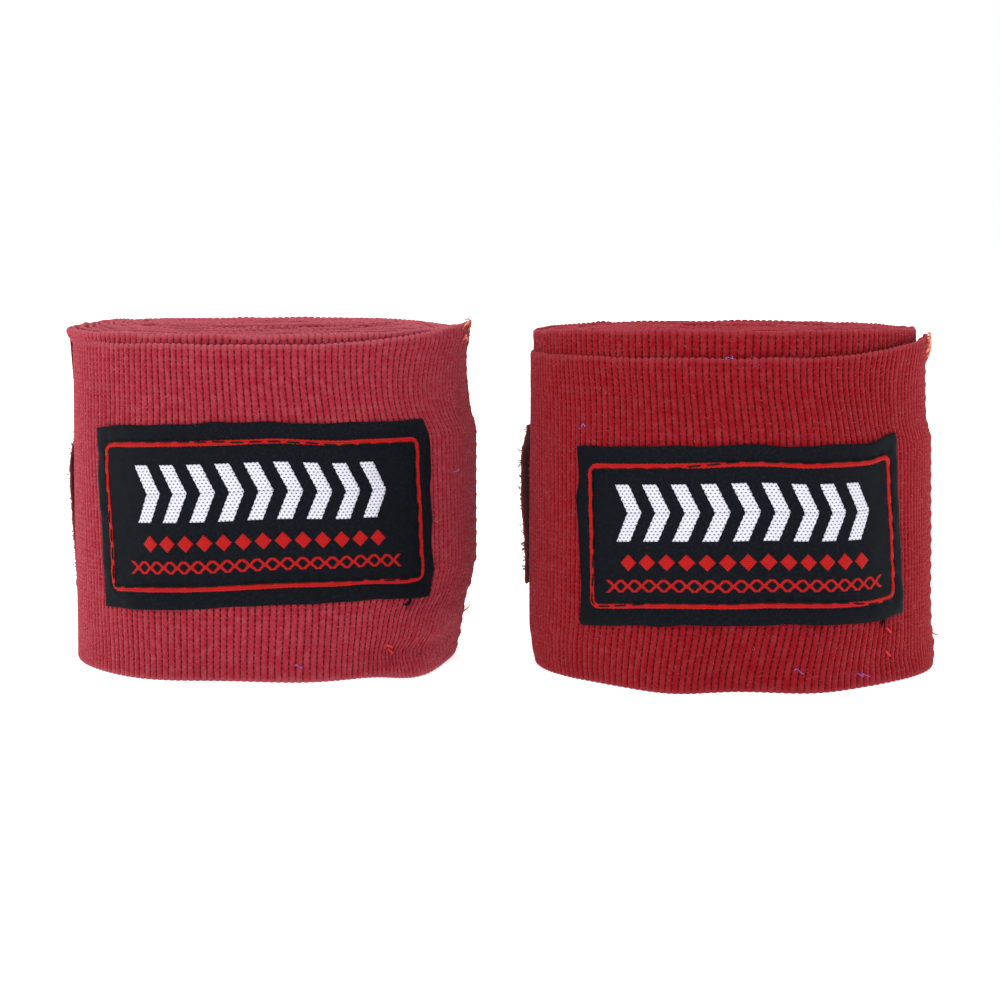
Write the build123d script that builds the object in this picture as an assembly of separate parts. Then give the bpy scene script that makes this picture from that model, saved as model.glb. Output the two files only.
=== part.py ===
from build123d import *
import os
from math import atan2, cos, degrees, radians, sin

# A pair of elastic hand wraps for boxing, rolled up and closed, standing on edge side by side.
# Each wrap is one long elastic strip wound as a flattened spiral. The strip's last half-turn is
# a flap: a hook patch on its inside holds to a loop patch on the turn under it. The flap peels
# open about the left end of its roll.
# Frame: millimetres, +X to the right, +Y to the back, +Z up. The origin is under the middle of
# the pair, on the surface that the wraps stand on.

# The strip
STRIP_THICKNESS = 0.55
CORE_HALF_LENGTH = 7.7      # of the innermost half-turn's centreline, along X
CORE_HALF_DEPTH = 2.7       # the same along Y
CORE_END_RADIUS = 1.5
TURNS = 31
LAST_HALF_TURN = 2 * TURNS  # the half-turns are counted from 0, at the back
RAISED_END = 2.6            # how much wider the strip's slack outer end is than the rest

# The closure
LOOP_THICKNESS = 0.8
HOOK_THICKNESS = 0.7
PATCH_HEIGHT = 25.0
FRONT_CLEARANCE = 0.55      # between the hook patch's base and the pile, in front
END_CLEARANCE = 0.35        # between the overlocked end and the pile, at the right end
LOOP_START_X = -13.0        # the loop patch's hidden end, under the flap
LOOP_END_Y = 1.6            # the loop patch's visible end, behind the roll's left end
HOOK_HALF_LENGTH = 16.5
FLAP_END_RADIUS = 27.3
FLAP_ROOT_GAP = 0.3

# The label and its stitches
LABEL_THICKNESS = 0.4
LABEL_TILT = 2.4            # degrees
LABEL_ROUND = 1.07          # its length round the bulging flap, over its width in front
SEAM_INSET = 2.3
STITCH_LENGTH = 2.1
STITCH_PITCH = 2.7
STITCH_WIDTH = 0.45
STITCH_THICKNESS = 0.2
STITCH_LIFT = 0.03          # keeps a straight stitch clear of the curved cloth

# The overlocked end
OVERLOCK_PITCH = 2.0
OVERLOCK_THREAD = 0.5
OVERLOCK_DEPTH = 2.6
OVERLOCK_SHELL = 0.25

# The thumb loop, folded double in the core
THUMB_TAPE_THICKNESS = 0.6
THUMB_TAPE_GAP = 0.1        # half the space between the tape's two layers
THUMB_RUN = 9.0             # straight part of each fold
THUMB_FOLD_RADIUS = 0.85
THUMB_HEIGHT = 20.0
THUMB_SHIFT = 0.4           # the fold's middle, to the right of the core's
BARTACK_X = 3.0
BARTACK_COUNT = 7
BARTACK_SIZE = (1.6, 0.15, 0.35)


class Wrap:
    """What differs between the two wraps of the pair."""

    def __init__(self, name, centre, turn_pitch, strip_width, inner_raise, patch_z, label):
        self.name = name
        self.centre = centre
        self.turn_pitch = turn_pitch        # from one turn's centreline to the next
        self.strip_width = strip_width
        self.inner_raise = inner_raise      # how much higher the inner turns stand
        self.patch_z = patch_z              # the loop patch's lower edge
        self.label_x, self.label_z, self.label_length, self.label_height = label
        self.growth = TURNS * turn_pitch    # from the core to the outermost half-turn


WRAPS = [
    Wrap("left", (-36.3, 4.2), 0.750, 50.0, 3.0, 10.5, (0.8, 24.7, 49.8, 26.8)),
    Wrap("right", (35.1, -4.2), 0.735, 49.0, 3.6, 12.0, (0.4, 23.0, 47.6, 26.2)),
]


class Oval:
    """An oval of four tangent arcs: two ends, and two flatter sides, about (centre_x, 0)."""

    def __init__(self, half_length, half_depth, end_radius, centre_x=0.0):
        self.centre_x = centre_x
        self.end_x = half_length - end_radius
        self.end_radius = end_radius
        rise = half_depth - end_radius
        self.side_radius = (self.end_x**2 / rise + end_radius + half_depth) / 2
        self.side_y = self.side_radius - half_depth
        self.join = degrees(atan2(self.side_y, self.end_x))

    def half(self, offset, back):
        """The back or front half at an offset outwards, counterclockwise, as three arcs."""
        base = 0 if back else 180
        side = -self.side_y if back else self.side_y
        first_x = self.end_x if back else -self.end_x
        end_radius = self.end_radius + offset
        side_radius = self.side_radius + offset
        first = CenterArc((self.centre_x + first_x, 0), end_radius, base, self.join)
        middle = CenterArc(
            (self.centre_x, side), side_radius, base + self.join, 180 - 2 * self.join
        )
        last = CenterArc(
            (self.centre_x - first_x, 0), end_radius, base + 180 - self.join, self.join
        )
        return [first, middle, last]

    def front_point(self, distance, offset):
        """The point on the front, at a distance along it to the right of its middle, and the
        direction of its tangent there in degrees."""
        side_reach = self.side_radius * radians(90 - self.join)
        beyond = abs(distance) - side_reach
        if beyond <= 0:
            angle = -90 + degrees(distance / self.side_radius)
            radius = self.side_radius + offset
            x = radius * cos(radians(angle))
            y = self.side_y + radius * sin(radians(angle))
            return self.centre_x + x, y, angle + 90
        hand = 1 if distance > 0 else -1
        angle = -90 + hand * (90 - self.join + degrees(beyond / self.end_radius))
        radius = self.end_radius + offset
        x = hand * self.end_x + radius * cos(radians(angle))
        return self.centre_x + x, radius * sin(radians(angle)), angle + 90


def core_oval(centre_x=0.0):
    return Oval(CORE_HALF_LENGTH, CORE_HALF_DEPTH, CORE_END_RADIUS, centre_x)


def band(arcs_inside, arcs_outside, height):
    """A strip of cloth on edge: the space between two chains of arcs, made height tall."""
    start = Line(arcs_inside[0] @ 0, arcs_outside[0] @ 0)
    end = Line(arcs_inside[-1] @ 1, arcs_outside[-1] @ 1)
    outline = Wire(arcs_inside + arcs_outside + [start, end])
    return extrude(Face(outline), height, dir=(0, 0, 1))


def half_turns(wrap, first, last, inside, outside, height):
    """Half-turns first to last of the spiral, between two offsets from its centreline. The
    even ones are at the back. The odd ones are at the front, half a pitch to the right."""
    chain_inside = []
    chain_outside = []
    for index in range(first, last + 1):
        back = index % 2 == 0
        oval = core_oval(0.0 if back else wrap.turn_pitch / 2)
        growth = index * wrap.turn_pitch / 2
        chain_inside += oval.half(growth + inside, back)
        chain_outside += oval.half(growth + outside, back)
    return band(chain_inside, chain_outside, height)


def inner_turns(wrap):
    """Every turn of the strip under the last one, standing a little higher than it."""
    half = STRIP_THICKNESS / 2
    turns = half_turns(wrap, 0, LAST_HALF_TURN - 1, -half, half, wrap.strip_width)
    return Pos(0, 0, wrap.inner_raise) * turns


def outer_turn(wrap):
    """The last half-turn at the back, which the flap goes on from at the roll's left end."""
    half = STRIP_THICKNESS / 2
    return half_turns(wrap, LAST_HALF_TURN, LAST_HALF_TURN, -half, half, wrap.strip_width)


def flap_oval(wrap):
    """The flap's centreline: it leaves the roll's left end, clears the patches in front and
    ends outside the loop patch at the right end."""
    reach = CORE_HALF_LENGTH + wrap.growth
    right = reach + STRIP_THICKNESS + LOOP_THICKNESS + END_CLEARANCE + OVERLOCK_SHELL
    under = CORE_HALF_DEPTH + wrap.growth - wrap.turn_pitch / 2 + STRIP_THICKNESS / 2
    stack = LOOP_THICKNESS + FRONT_CLEARANCE + HOOK_THICKNESS + STRIP_THICKNESS / 2
    return Oval((reach + right) / 2, under + stack, FLAP_END_RADIUS, (right - reach) / 2)


def flap_band(wrap, inside, outside, height):
    """A layer of the flap between two offsets from its centreline."""
    oval = flap_oval(wrap)
    return band(oval.half(inside, False), oval.half(outside, False), height)


def closure_flap(wrap):
    """The flap. Its top edge rises to the slack end."""
    half = STRIP_THICKNESS / 2
    tall = wrap.strip_width + RAISED_END
    flap = flap_band(wrap, -half, half, tall)
    reach = CORE_HALF_LENGTH + wrap.growth
    rise_start = reach / 3
    over = Polyline(
        (-2 * reach, wrap.strip_width),
        (rise_start, wrap.strip_width),
        (reach, tall),
        (2 * reach, tall + RAISED_END),
        (2 * reach, 2 * tall),
        (-2 * reach, 2 * tall),
        close=True,
    )
    cut = extrude(Plane.XZ * Face(Wire(over.edges())), 2 * reach, both=True)
    root = Pos(-reach, 0, tall / 2) * Box(reach, 2 * FLAP_ROOT_GAP, 2 * tall)
    return flap - cut - root


def label_frame(wrap, length, height):
    """A block across the front, tilted with the label, that cuts a layer to its outline."""
    front = CORE_HALF_DEPTH + wrap.growth
    place = Pos(wrap.label_x, -front, wrap.label_z)
    return place * Rot(0, -LABEL_TILT, 0) * Box(length, front, height)


def woven_label(wrap):
    half = STRIP_THICKNESS / 2
    layer = flap_band(wrap, half, half + LABEL_THICKNESS, wrap.strip_width)
    return layer & label_frame(wrap, wrap.label_length, wrap.label_height)


def hook_patch(wrap):
    half = STRIP_THICKNESS / 2
    layer = flap_band(wrap, -half - HOOK_THICKNESS, -half, wrap.strip_width)
    return layer & label_frame(wrap, 2 * HOOK_HALF_LENGTH, PATCH_HEIGHT)


def loop_patch(wrap):
    """The fuzzy patch: under the flap, round the right end and across the whole back."""
    half = STRIP_THICKNESS / 2
    outside = half + LOOP_THICKNESS
    layer = half_turns(wrap, LAST_HALF_TURN - 1, LAST_HALF_TURN, half, outside, PATCH_HEIGHT)
    reach = CORE_HALF_LENGTH + wrap.growth
    hidden = Pos(LOOP_START_X - reach, -reach, 0) * Box(2 * reach, 2 * reach, 3 * PATCH_HEIGHT)
    shown = Pos(-reach, 0, 0) * Box(reach, 2 * LOOP_END_Y, 3 * PATCH_HEIGHT)
    return Pos(0, 0, wrap.patch_z) * (layer - hidden - shown)


def stitch(x, y, z, turn, slope):
    """One straight stitch on cloth: turn is the cloth's direction in plan, slope the stitch's
    own slope on it."""
    block = Box(STITCH_LENGTH, STITCH_THICKNESS, STITCH_WIDTH)
    return Pos(x, y, z) * Rot(0, 0, turn) * Rot(0, -slope, 0) * block


def rectangle_stitches(length, height):
    """The middles and slopes of the stitches round a rectangle about (0, 0)."""
    places = []
    for run, other, slope in ((length, height, 0), (height, length, 90)):
        count = int((run - STITCH_LENGTH) / STITCH_PITCH)
        for index in range(count + 1):
            along = (index - count / 2) * STITCH_PITCH
            for side in (-other / 2, other / 2):
                places.append((along, side, slope) if slope == 0 else (side, along, slope))
    return places


def label_seam(wrap):
    """The lockstitch round the label, which also holds the hook patch on behind it."""
    oval = flap_oval(wrap)
    offset = STRIP_THICKNESS / 2 + LABEL_THICKNESS + STITCH_THICKNESS / 2 + STITCH_LIFT
    middle = wrap.label_x - oval.centre_x
    arc_length = wrap.label_length * LABEL_ROUND
    outline = rectangle_stitches(arc_length - 2 * SEAM_INSET, wrap.label_height - 2 * SEAM_INSET)
    stitches = []
    for along, up, slope in outline:
        tilt = radians(LABEL_TILT)
        distance = middle + along * cos(tilt) - up * sin(tilt)
        z = wrap.label_z + along * sin(tilt) + up * cos(tilt)
        x, y, turn = oval.front_point(distance, offset)
        stitches.append(stitch(x, y, z, turn, slope + LABEL_TILT))
    return Compound(stitches)


def loop_patch_seam(wrap):
    """The stitches along the loop patch's upper and lower edges across the back, and down its
    visible end."""
    oval = core_oval()
    offset = wrap.growth + STRIP_THICKNESS / 2 + LOOP_THICKNESS
    offset += STITCH_THICKNESS / 2 + STITCH_LIFT
    back = Wire(oval.half(offset, True))
    low = wrap.patch_z + SEAM_INSET
    high = wrap.patch_z + PATCH_HEIGHT - SEAM_INSET
    end_margin = LOOP_END_Y + SEAM_INSET
    count = int((back.length - end_margin) / STITCH_PITCH)
    stitches = []
    for index in range(count):
        place = (index + 0.5) * STITCH_PITCH / back.length
        point = back @ place
        tangent = back % place
        turn = degrees(atan2(tangent.Y, tangent.X))
        for z in (low, high):
            stitches.append(stitch(point.X, point.Y, z, turn, 0))
    end = back @ (1 - end_margin / back.length)
    tangent = back % (1 - end_margin / back.length)
    turn = degrees(atan2(tangent.Y, tangent.X))
    rows = int((high - low) / STITCH_PITCH)
    for index in range(1, rows):
        stitches.append(stitch(end.X, end.Y, low + index * STITCH_PITCH, turn, 90))
    return Compound(stitches)


def end_overlock(wrap):
    """The thread loops that bind the strip's end: a row of small channels over its edge."""
    oval = flap_oval(wrap)
    edge_x = oval.centre_x + oval.end_x + oval.end_radius
    width = STRIP_THICKNESS + 2 * OVERLOCK_SHELL
    channel = Pos(edge_x, (OVERLOCK_SHELL - OVERLOCK_DEPTH) / 2) * Rectangle(
        width, OVERLOCK_DEPTH + OVERLOCK_SHELL
    )
    half = STRIP_THICKNESS / 2
    cloth_in = oval.half(-half, False)
    cloth_out = oval.half(half, False)
    start = Line(cloth_in[0] @ 0, cloth_out[0] @ 0)
    end = Line(cloth_in[-1] @ 1, cloth_out[-1] @ 1)
    cloth = Face(Wire(cloth_in + cloth_out + [start, end]))
    thread = extrude(channel - cloth, OVERLOCK_THREAD, dir=(0, 0, 1))
    tall = wrap.strip_width + RAISED_END
    count = int((tall - OVERLOCK_THREAD) / OVERLOCK_PITCH)
    margin = (tall - count * OVERLOCK_PITCH - OVERLOCK_THREAD) / 2
    loops = [Pos(0, 0, margin + index * OVERLOCK_PITCH) * thread for index in range(count + 1)]
    return Compound(loops)


def thumb_face(gap):
    """The outline of the thumb loop's fold: a doubled run there and back, gap either side."""
    radius = THUMB_FOLD_RADIUS
    spine_left = -THUMB_RUN / 2
    outline = []
    outline.append(CenterArc((spine_left, 0), radius + gap, 90, 180))
    outline.append(Line((spine_left, -radius - gap), (spine_left + THUMB_RUN, -radius - gap)))
    outline.append(CenterArc((spine_left + THUMB_RUN, -radius), gap, -90, 180))
    outline.append(Line((spine_left + THUMB_RUN, -radius + gap), (spine_left, -radius + gap)))
    outline.append(CenterArc((spine_left, 0), radius - gap, 90, 180))
    outline.append(Line((spine_left, radius - gap), (spine_left + THUMB_RUN, radius - gap)))
    outline.append(CenterArc((spine_left + THUMB_RUN, radius), gap, -90, 180))
    outline.append(Line((spine_left + THUMB_RUN, radius + gap), (spine_left, radius + gap)))
    return Face(Wire(outline))


def thumb_loop(wrap):
    """A loop of narrow tape, pressed flat and folded double in the roll's core."""
    tape = thumb_face(THUMB_TAPE_GAP + THUMB_TAPE_THICKNESS) - thumb_face(THUMB_TAPE_GAP)
    base = wrap.inner_raise + (wrap.strip_width - THUMB_HEIGHT) / 2
    return Pos(THUMB_SHIFT, 0, base) * extrude(tape, THUMB_HEIGHT, dir=(0, 0, 1))


def thumb_loop_bartack(wrap):
    """The close stitches that hold the thumb loop to the strip's inner end."""
    long, thick, tall = BARTACK_SIZE
    outer_face = THUMB_FOLD_RADIUS + THUMB_TAPE_GAP + THUMB_TAPE_THICKNESS
    middle = wrap.inner_raise + wrap.strip_width / 2
    spacing = 2 * tall
    tacks = []
    for index in range(BARTACK_COUNT):
        z = middle + (index - (BARTACK_COUNT - 1) / 2) * spacing
        tacks.append(Pos(BARTACK_X, outer_face + thick / 2, z) * Box(long, thick, tall))
    return Compound(tacks)


SUB_PARTS = {
    "inner_turns": inner_turns,
    "outer_turn": outer_turn,
    "closure_flap": closure_flap,
    "hook_patch": hook_patch,
    "loop_patch": loop_patch,
    "loop_patch_seam": loop_patch_seam,
    "woven_label": woven_label,
    "label_seam": label_seam,
    "end_overlock": end_overlock,
    "thumb_loop": thumb_loop,
    "thumb_loop_bartack": thumb_loop_bartack,
}


def build():
    """Every sub-part by name, in the pair's frame."""
    placed = {}
    for wrap in WRAPS:
        for name, make in SUB_PARTS.items():
            placed[f"{wrap.name}_{name}"] = Pos(*wrap.centre, 0) * make(wrap)
    boxes = [shape.bounding_box() for shape in placed.values()]
    middle_x = (min(box.min.X for box in boxes) + max(box.max.X for box in boxes)) / 2
    middle_y = (min(box.min.Y for box in boxes) + max(box.max.Y for box in boxes)) / 2
    for wrap in WRAPS:
        hinge = CORE_HALF_LENGTH + wrap.growth + STRIP_THICKNESS / 2
        x = wrap.centre[0] - hinge - middle_x
        y = wrap.centre[1] - middle_y
        print(f"{wrap.name} flap turns about the vertical at x {x:.3f}, y {y:.3f}")
    return {name: Pos(-middle_x, -middle_y, 0) * shape for name, shape in placed.items()}


os.makedirs("parts", exist_ok=True)
for name, shape in build().items():
    export_step(shape, f"parts/{name}.step")
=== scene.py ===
import math

import bpy
import numpy as np
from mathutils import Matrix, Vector


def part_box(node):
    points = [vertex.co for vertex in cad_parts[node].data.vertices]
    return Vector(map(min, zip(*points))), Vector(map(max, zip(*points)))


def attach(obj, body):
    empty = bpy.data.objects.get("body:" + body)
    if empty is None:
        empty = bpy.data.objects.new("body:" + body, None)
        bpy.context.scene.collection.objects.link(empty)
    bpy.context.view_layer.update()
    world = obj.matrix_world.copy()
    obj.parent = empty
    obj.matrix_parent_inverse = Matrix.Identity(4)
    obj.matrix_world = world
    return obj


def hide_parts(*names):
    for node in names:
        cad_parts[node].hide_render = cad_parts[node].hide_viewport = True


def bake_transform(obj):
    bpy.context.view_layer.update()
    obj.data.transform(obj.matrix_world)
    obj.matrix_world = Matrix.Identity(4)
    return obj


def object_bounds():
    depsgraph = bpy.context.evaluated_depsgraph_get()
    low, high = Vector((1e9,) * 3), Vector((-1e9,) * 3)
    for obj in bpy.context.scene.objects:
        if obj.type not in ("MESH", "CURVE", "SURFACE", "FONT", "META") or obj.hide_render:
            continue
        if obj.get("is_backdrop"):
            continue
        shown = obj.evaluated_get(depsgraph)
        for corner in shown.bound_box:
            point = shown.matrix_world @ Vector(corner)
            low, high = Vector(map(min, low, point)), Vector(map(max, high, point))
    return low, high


# A pair of rolled elastic hand wraps: ribbed cotton strips wound into flattened rolls, each held
# by a flap with a woven label outside and hook tape inside. Shapes are worked out in
# millimetres and written in metres.

MM = 0.001

# What the CAD model is made from, in millimetres
STRIP_THICKNESS = 0.55
CORE_HALF_LENGTH = 7.7
CORE_HALF_DEPTH = 2.7
CORE_END_RADIUS = 1.5
TURNS = 31
RAISED_END = 2.6
LOOP_THICKNESS = 0.8
HOOK_THICKNESS = 0.7
FRONT_CLEARANCE = 0.55
LOOP_START_X = -13.0
LOOP_END_Y = 1.6
FLAP_END_RADIUS = 27.3
LABEL_TILT = math.radians(2.4)

# The knitted cloth
RIB_PITCH = 1.065
BEAD_PITCH = 0.8             # the dashes along each groove
RIB_DEPTH = 0.28
RIB_COLUMNS = (0.0, 0.12, 0.36, 0.64, 0.88)
EDGE_COLUMNS = (0.0, 0.3, 0.7)
ROW_STEP = 1.0
EDGE_ROWS = (0.0, 0.12, 0.35, 0.7)
WOUND_ROWS = (0.0, 0.15, 0.5, 1.4)
EDGE_RADIUS = 0.4
PACKED_THICKNESS = 0.68      # of the wound turns, which press on each other
FLAP_THICKNESS = 0.6
FLAP_START = 0.62            # where on the last back half-turn the flap's own piece starts
CORE_SHEET_HEADING = 42 * math.pi     # where the strip's first sheet ends
NOISE_CELLS = 128            # the noise repeats after this many cells
GROOVE_POWER = 6             # how narrow the grooves between the ribs are
WAVE_SIZE = 0.3              # how far the ribs stray sideways
WAVE_CELL = (23, 14)         # along and up the strip
WOBBLE_SIZE = 0.04
WOBBLE_CELL = (3, 2)
CROWN_TOP = 0.2              # how far a rib's middle stands out past the strip's upper edge
CROWN_LOW = 0.12             # and past its lower edge
CROWN_REACH = 0.8
THINNEST_EDGE = 0.06         # the rounded edge's smallest thickness, squared
INNER_CREASE = 0.7           # the grooves' depth on the inner face, by the outer one's
SIDE_CREASE = 0.45           # and at the roll's two ends
LINT_SIZE = 0.03
LINT_CELL = (0.45, 0.8)
SLACK_LEAN = (32, 14)        # where the slack end's own lean starts and is full, from the end
SWELL_SIZE = 0.3             # how uneven the whole roll's surface is
SWELL_CELL = 13
FLARE_HEIGHT = 15            # how high up the flap its flares reach
DENT_PLACE = 0.82            # the dent in the flap's lower corner, by the roll's reach
DENT_HALF_WIDTH = 6
DENT_HEIGHT = 3.6
DENT_HALF_HEIGHT = 1.7
FLAP_CLEARANCE = 0.35        # between the flap and the turn under it, where they lie close
EDGE_SWAY = (0.3, 0.2, 0.1)  # how far a turn's edges stand up or down, slowly to quickly
EDGE_SWAY_STEPS = (2, 9, 47)
FLOOR_GAP = 0.06
FLAP_SLACK = (1.56, 1.97)    # half-turns past the hinge where the flap's end starts to rise

# Loose fibres and thread
FIBRE_RADIUS = 0.018
FIBRE_BEND = 0.7
FIBRE_POINTS = 3
THREAD_SIDES = 6
STRAY_POINTS = 12

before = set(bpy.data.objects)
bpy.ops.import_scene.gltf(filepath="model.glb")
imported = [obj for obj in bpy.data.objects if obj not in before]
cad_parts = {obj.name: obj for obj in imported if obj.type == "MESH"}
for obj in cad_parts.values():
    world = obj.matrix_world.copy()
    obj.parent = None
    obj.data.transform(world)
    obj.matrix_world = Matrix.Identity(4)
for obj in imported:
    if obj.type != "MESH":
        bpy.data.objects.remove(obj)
cad_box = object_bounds()


# ---------------------------------------------------------------- numbers and noise

def smooth(low, high, value):
    """0 below low, 1 above high, and a smooth step between."""
    share = np.clip((value - low) / (high - low), 0.0, 1.0)
    return share * share * (3 - 2 * share)


def noise(x, y, seed):
    """Smooth noise from -1 to 1 on a lattice of unit cells."""
    table = np.random.default_rng(seed).uniform(-1, 1, (NOISE_CELLS, NOISE_CELLS))
    x, y = np.broadcast_arrays(np.asarray(x, float), np.asarray(y, float))
    column, row = np.floor(x).astype(int), np.floor(y).astype(int)
    across, up = x - column, y - row
    across, up = across * across * (3 - 2 * across), up * up * (3 - 2 * up)
    left, right = column % NOISE_CELLS, (column + 1) % NOISE_CELLS
    low, high = row % NOISE_CELLS, (row + 1) % NOISE_CELLS
    bottom = table[left, low] * (1 - across) + table[right, low] * across
    top = table[left, high] * (1 - across) + table[right, high] * across
    return bottom * (1 - up) + top * up


def eased(value, stops):
    """A smooth line through (place, size) stops."""
    places = np.array([stop[0] for stop in stops], float)
    sizes = np.array([stop[1] for stop in stops], float)
    index = np.clip(np.searchsorted(places, value, side="right") - 1, 0, len(stops) - 2)
    share = smooth(places[index], places[index + 1], value)
    return sizes[index] + share * (sizes[index + 1] - sizes[index])


def hill(value, middle, half_width):
    """1 at the middle, and falling smoothly to 0 either side."""
    return np.exp(-(((value - middle) / half_width) ** 2))


def groove(rib):
    """1 in the groove between two ribs, at whole numbers, and near 0 along a rib."""
    return np.abs(np.cos(np.pi * rib)) ** GROOVE_POWER


# ---------------------------------------------------------------- the strip's path in plan

class Oval:
    """An oval of four tangent arcs: two ends, and two flatter sides, about (centre_x, 0)."""

    def __init__(self, half_length, half_depth, end_radius, centre_x=0.0):
        self.centre_x = centre_x
        self.end_x = half_length - end_radius
        self.end_radius = end_radius
        rise = half_depth - end_radius
        self.side_radius = (self.end_x**2 / rise + end_radius + half_depth) / 2
        self.side_y = self.side_radius - half_depth
        self.join = math.atan2(self.side_y, self.end_x)

    def point(self, heading, offset, shift=0.0):
        """The point where the outward normal has this heading, at an offset outwards."""
        across, along = np.cos(heading), np.sin(heading)
        at_end = np.abs(along) < math.sin(self.join)
        centre_x = np.where(at_end, np.sign(across) * self.end_x, 0.0)
        centre_y = np.where(at_end, 0.0, -np.sign(along) * self.side_y)
        radius = np.where(at_end, self.end_radius, self.side_radius) + offset
        x = self.centre_x + shift + centre_x + radius * across
        return x, centre_y + radius * along


class Path:
    """A line in plan that the strip follows, read by distance along it. Where the flap is
    loose there are two lines, a close one and a full one, and a share says where between."""

    def __init__(self, full, close, heading, loose=False):
        self.loose = loose
        self.full = np.array(full)
        self.close = np.array(close)
        self.heading = heading
        steps = np.hypot(*np.diff(self.full, axis=1))
        self.distance = np.concatenate([[0.0], np.cumsum(steps)])
        self.length = self.distance[-1]

    def read(self, distance, share=1.0):
        """x, y and the outward normal there."""
        values = [np.interp(distance, self.distance, line) for line in (*self.full, *self.close)]
        x = values[2] + share * (values[0] - values[2])
        y = values[3] + share * (values[1] - values[3])
        heading = np.interp(distance, self.distance, self.heading)
        normal_x, normal_y = np.cos(heading), np.sin(heading)
        beyond = np.maximum(distance - self.length, 0.0)
        return x - beyond * normal_y, y + beyond * normal_x, normal_x, normal_y

    def at_front(self, x):
        """The distance where the flap's front passes that x."""
        front = self.heading > (2 * TURNS + 1.2) * math.pi
        return np.interp(x, self.full[0][front], self.distance[front])


HEADING_STEP = math.radians(1.5)


def spiral_path(wrap, first, last):
    """The wound strip from one heading to another. Each half-turn is half a pitch further
    out than the one before it, and the front ones stand half a pitch to the right."""
    heading = np.linspace(first, last, math.ceil((last - first) / HEADING_STEP - 0.01) + 1)
    half_turn = np.minimum(np.floor(heading / np.pi + 1e-6), 2 * TURNS)
    shift = np.where(half_turn % 2 == 1, wrap.pitch / 2, 0.0)
    core = Oval(CORE_HALF_LENGTH, CORE_HALF_DEPTH, CORE_END_RADIUS)
    line = core.point(heading, half_turn * wrap.pitch / 2, shift)
    return Path(line, line, heading)


def along_oval(oval, heading, share):
    """Points on an oval, at shares of the way between its first and last heading."""
    fine = np.linspace(heading[0], heading[-1], 6 * len(heading))
    line = np.array(oval.point(fine, 0.0))
    distance = np.concatenate([[0.0], np.cumsum(np.hypot(*np.diff(line, axis=1)))])
    return [np.interp(share * distance[-1], distance, values) for values in line]


def flap_path(wrap, first):
    """The strip's outer stretch: from a heading at the back to the flap's end."""
    back = spiral_path(wrap, first, (2 * TURNS + 1) * math.pi)
    heading = np.arange(1, 181) * (math.pi / 180) + (2 * TURNS + 1) * math.pi
    full = wrap.flap_full.point(heading, 0.0)
    share = np.concatenate([[0.0], np.cumsum(np.hypot(*np.diff(full, axis=1)))])
    close = along_oval(wrap.flap_close, heading, share / share[-1])
    joined = np.concatenate([back.heading, heading])
    full, close = np.hstack([back.full, full]), np.hstack([back.full, close])
    return Path(full, close, joined, loose=True)


# ---------------------------------------------------------------- the two wraps

def box_mm(node):
    low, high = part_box(node)
    return np.array(low) / MM, np.array(high) / MM


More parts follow.
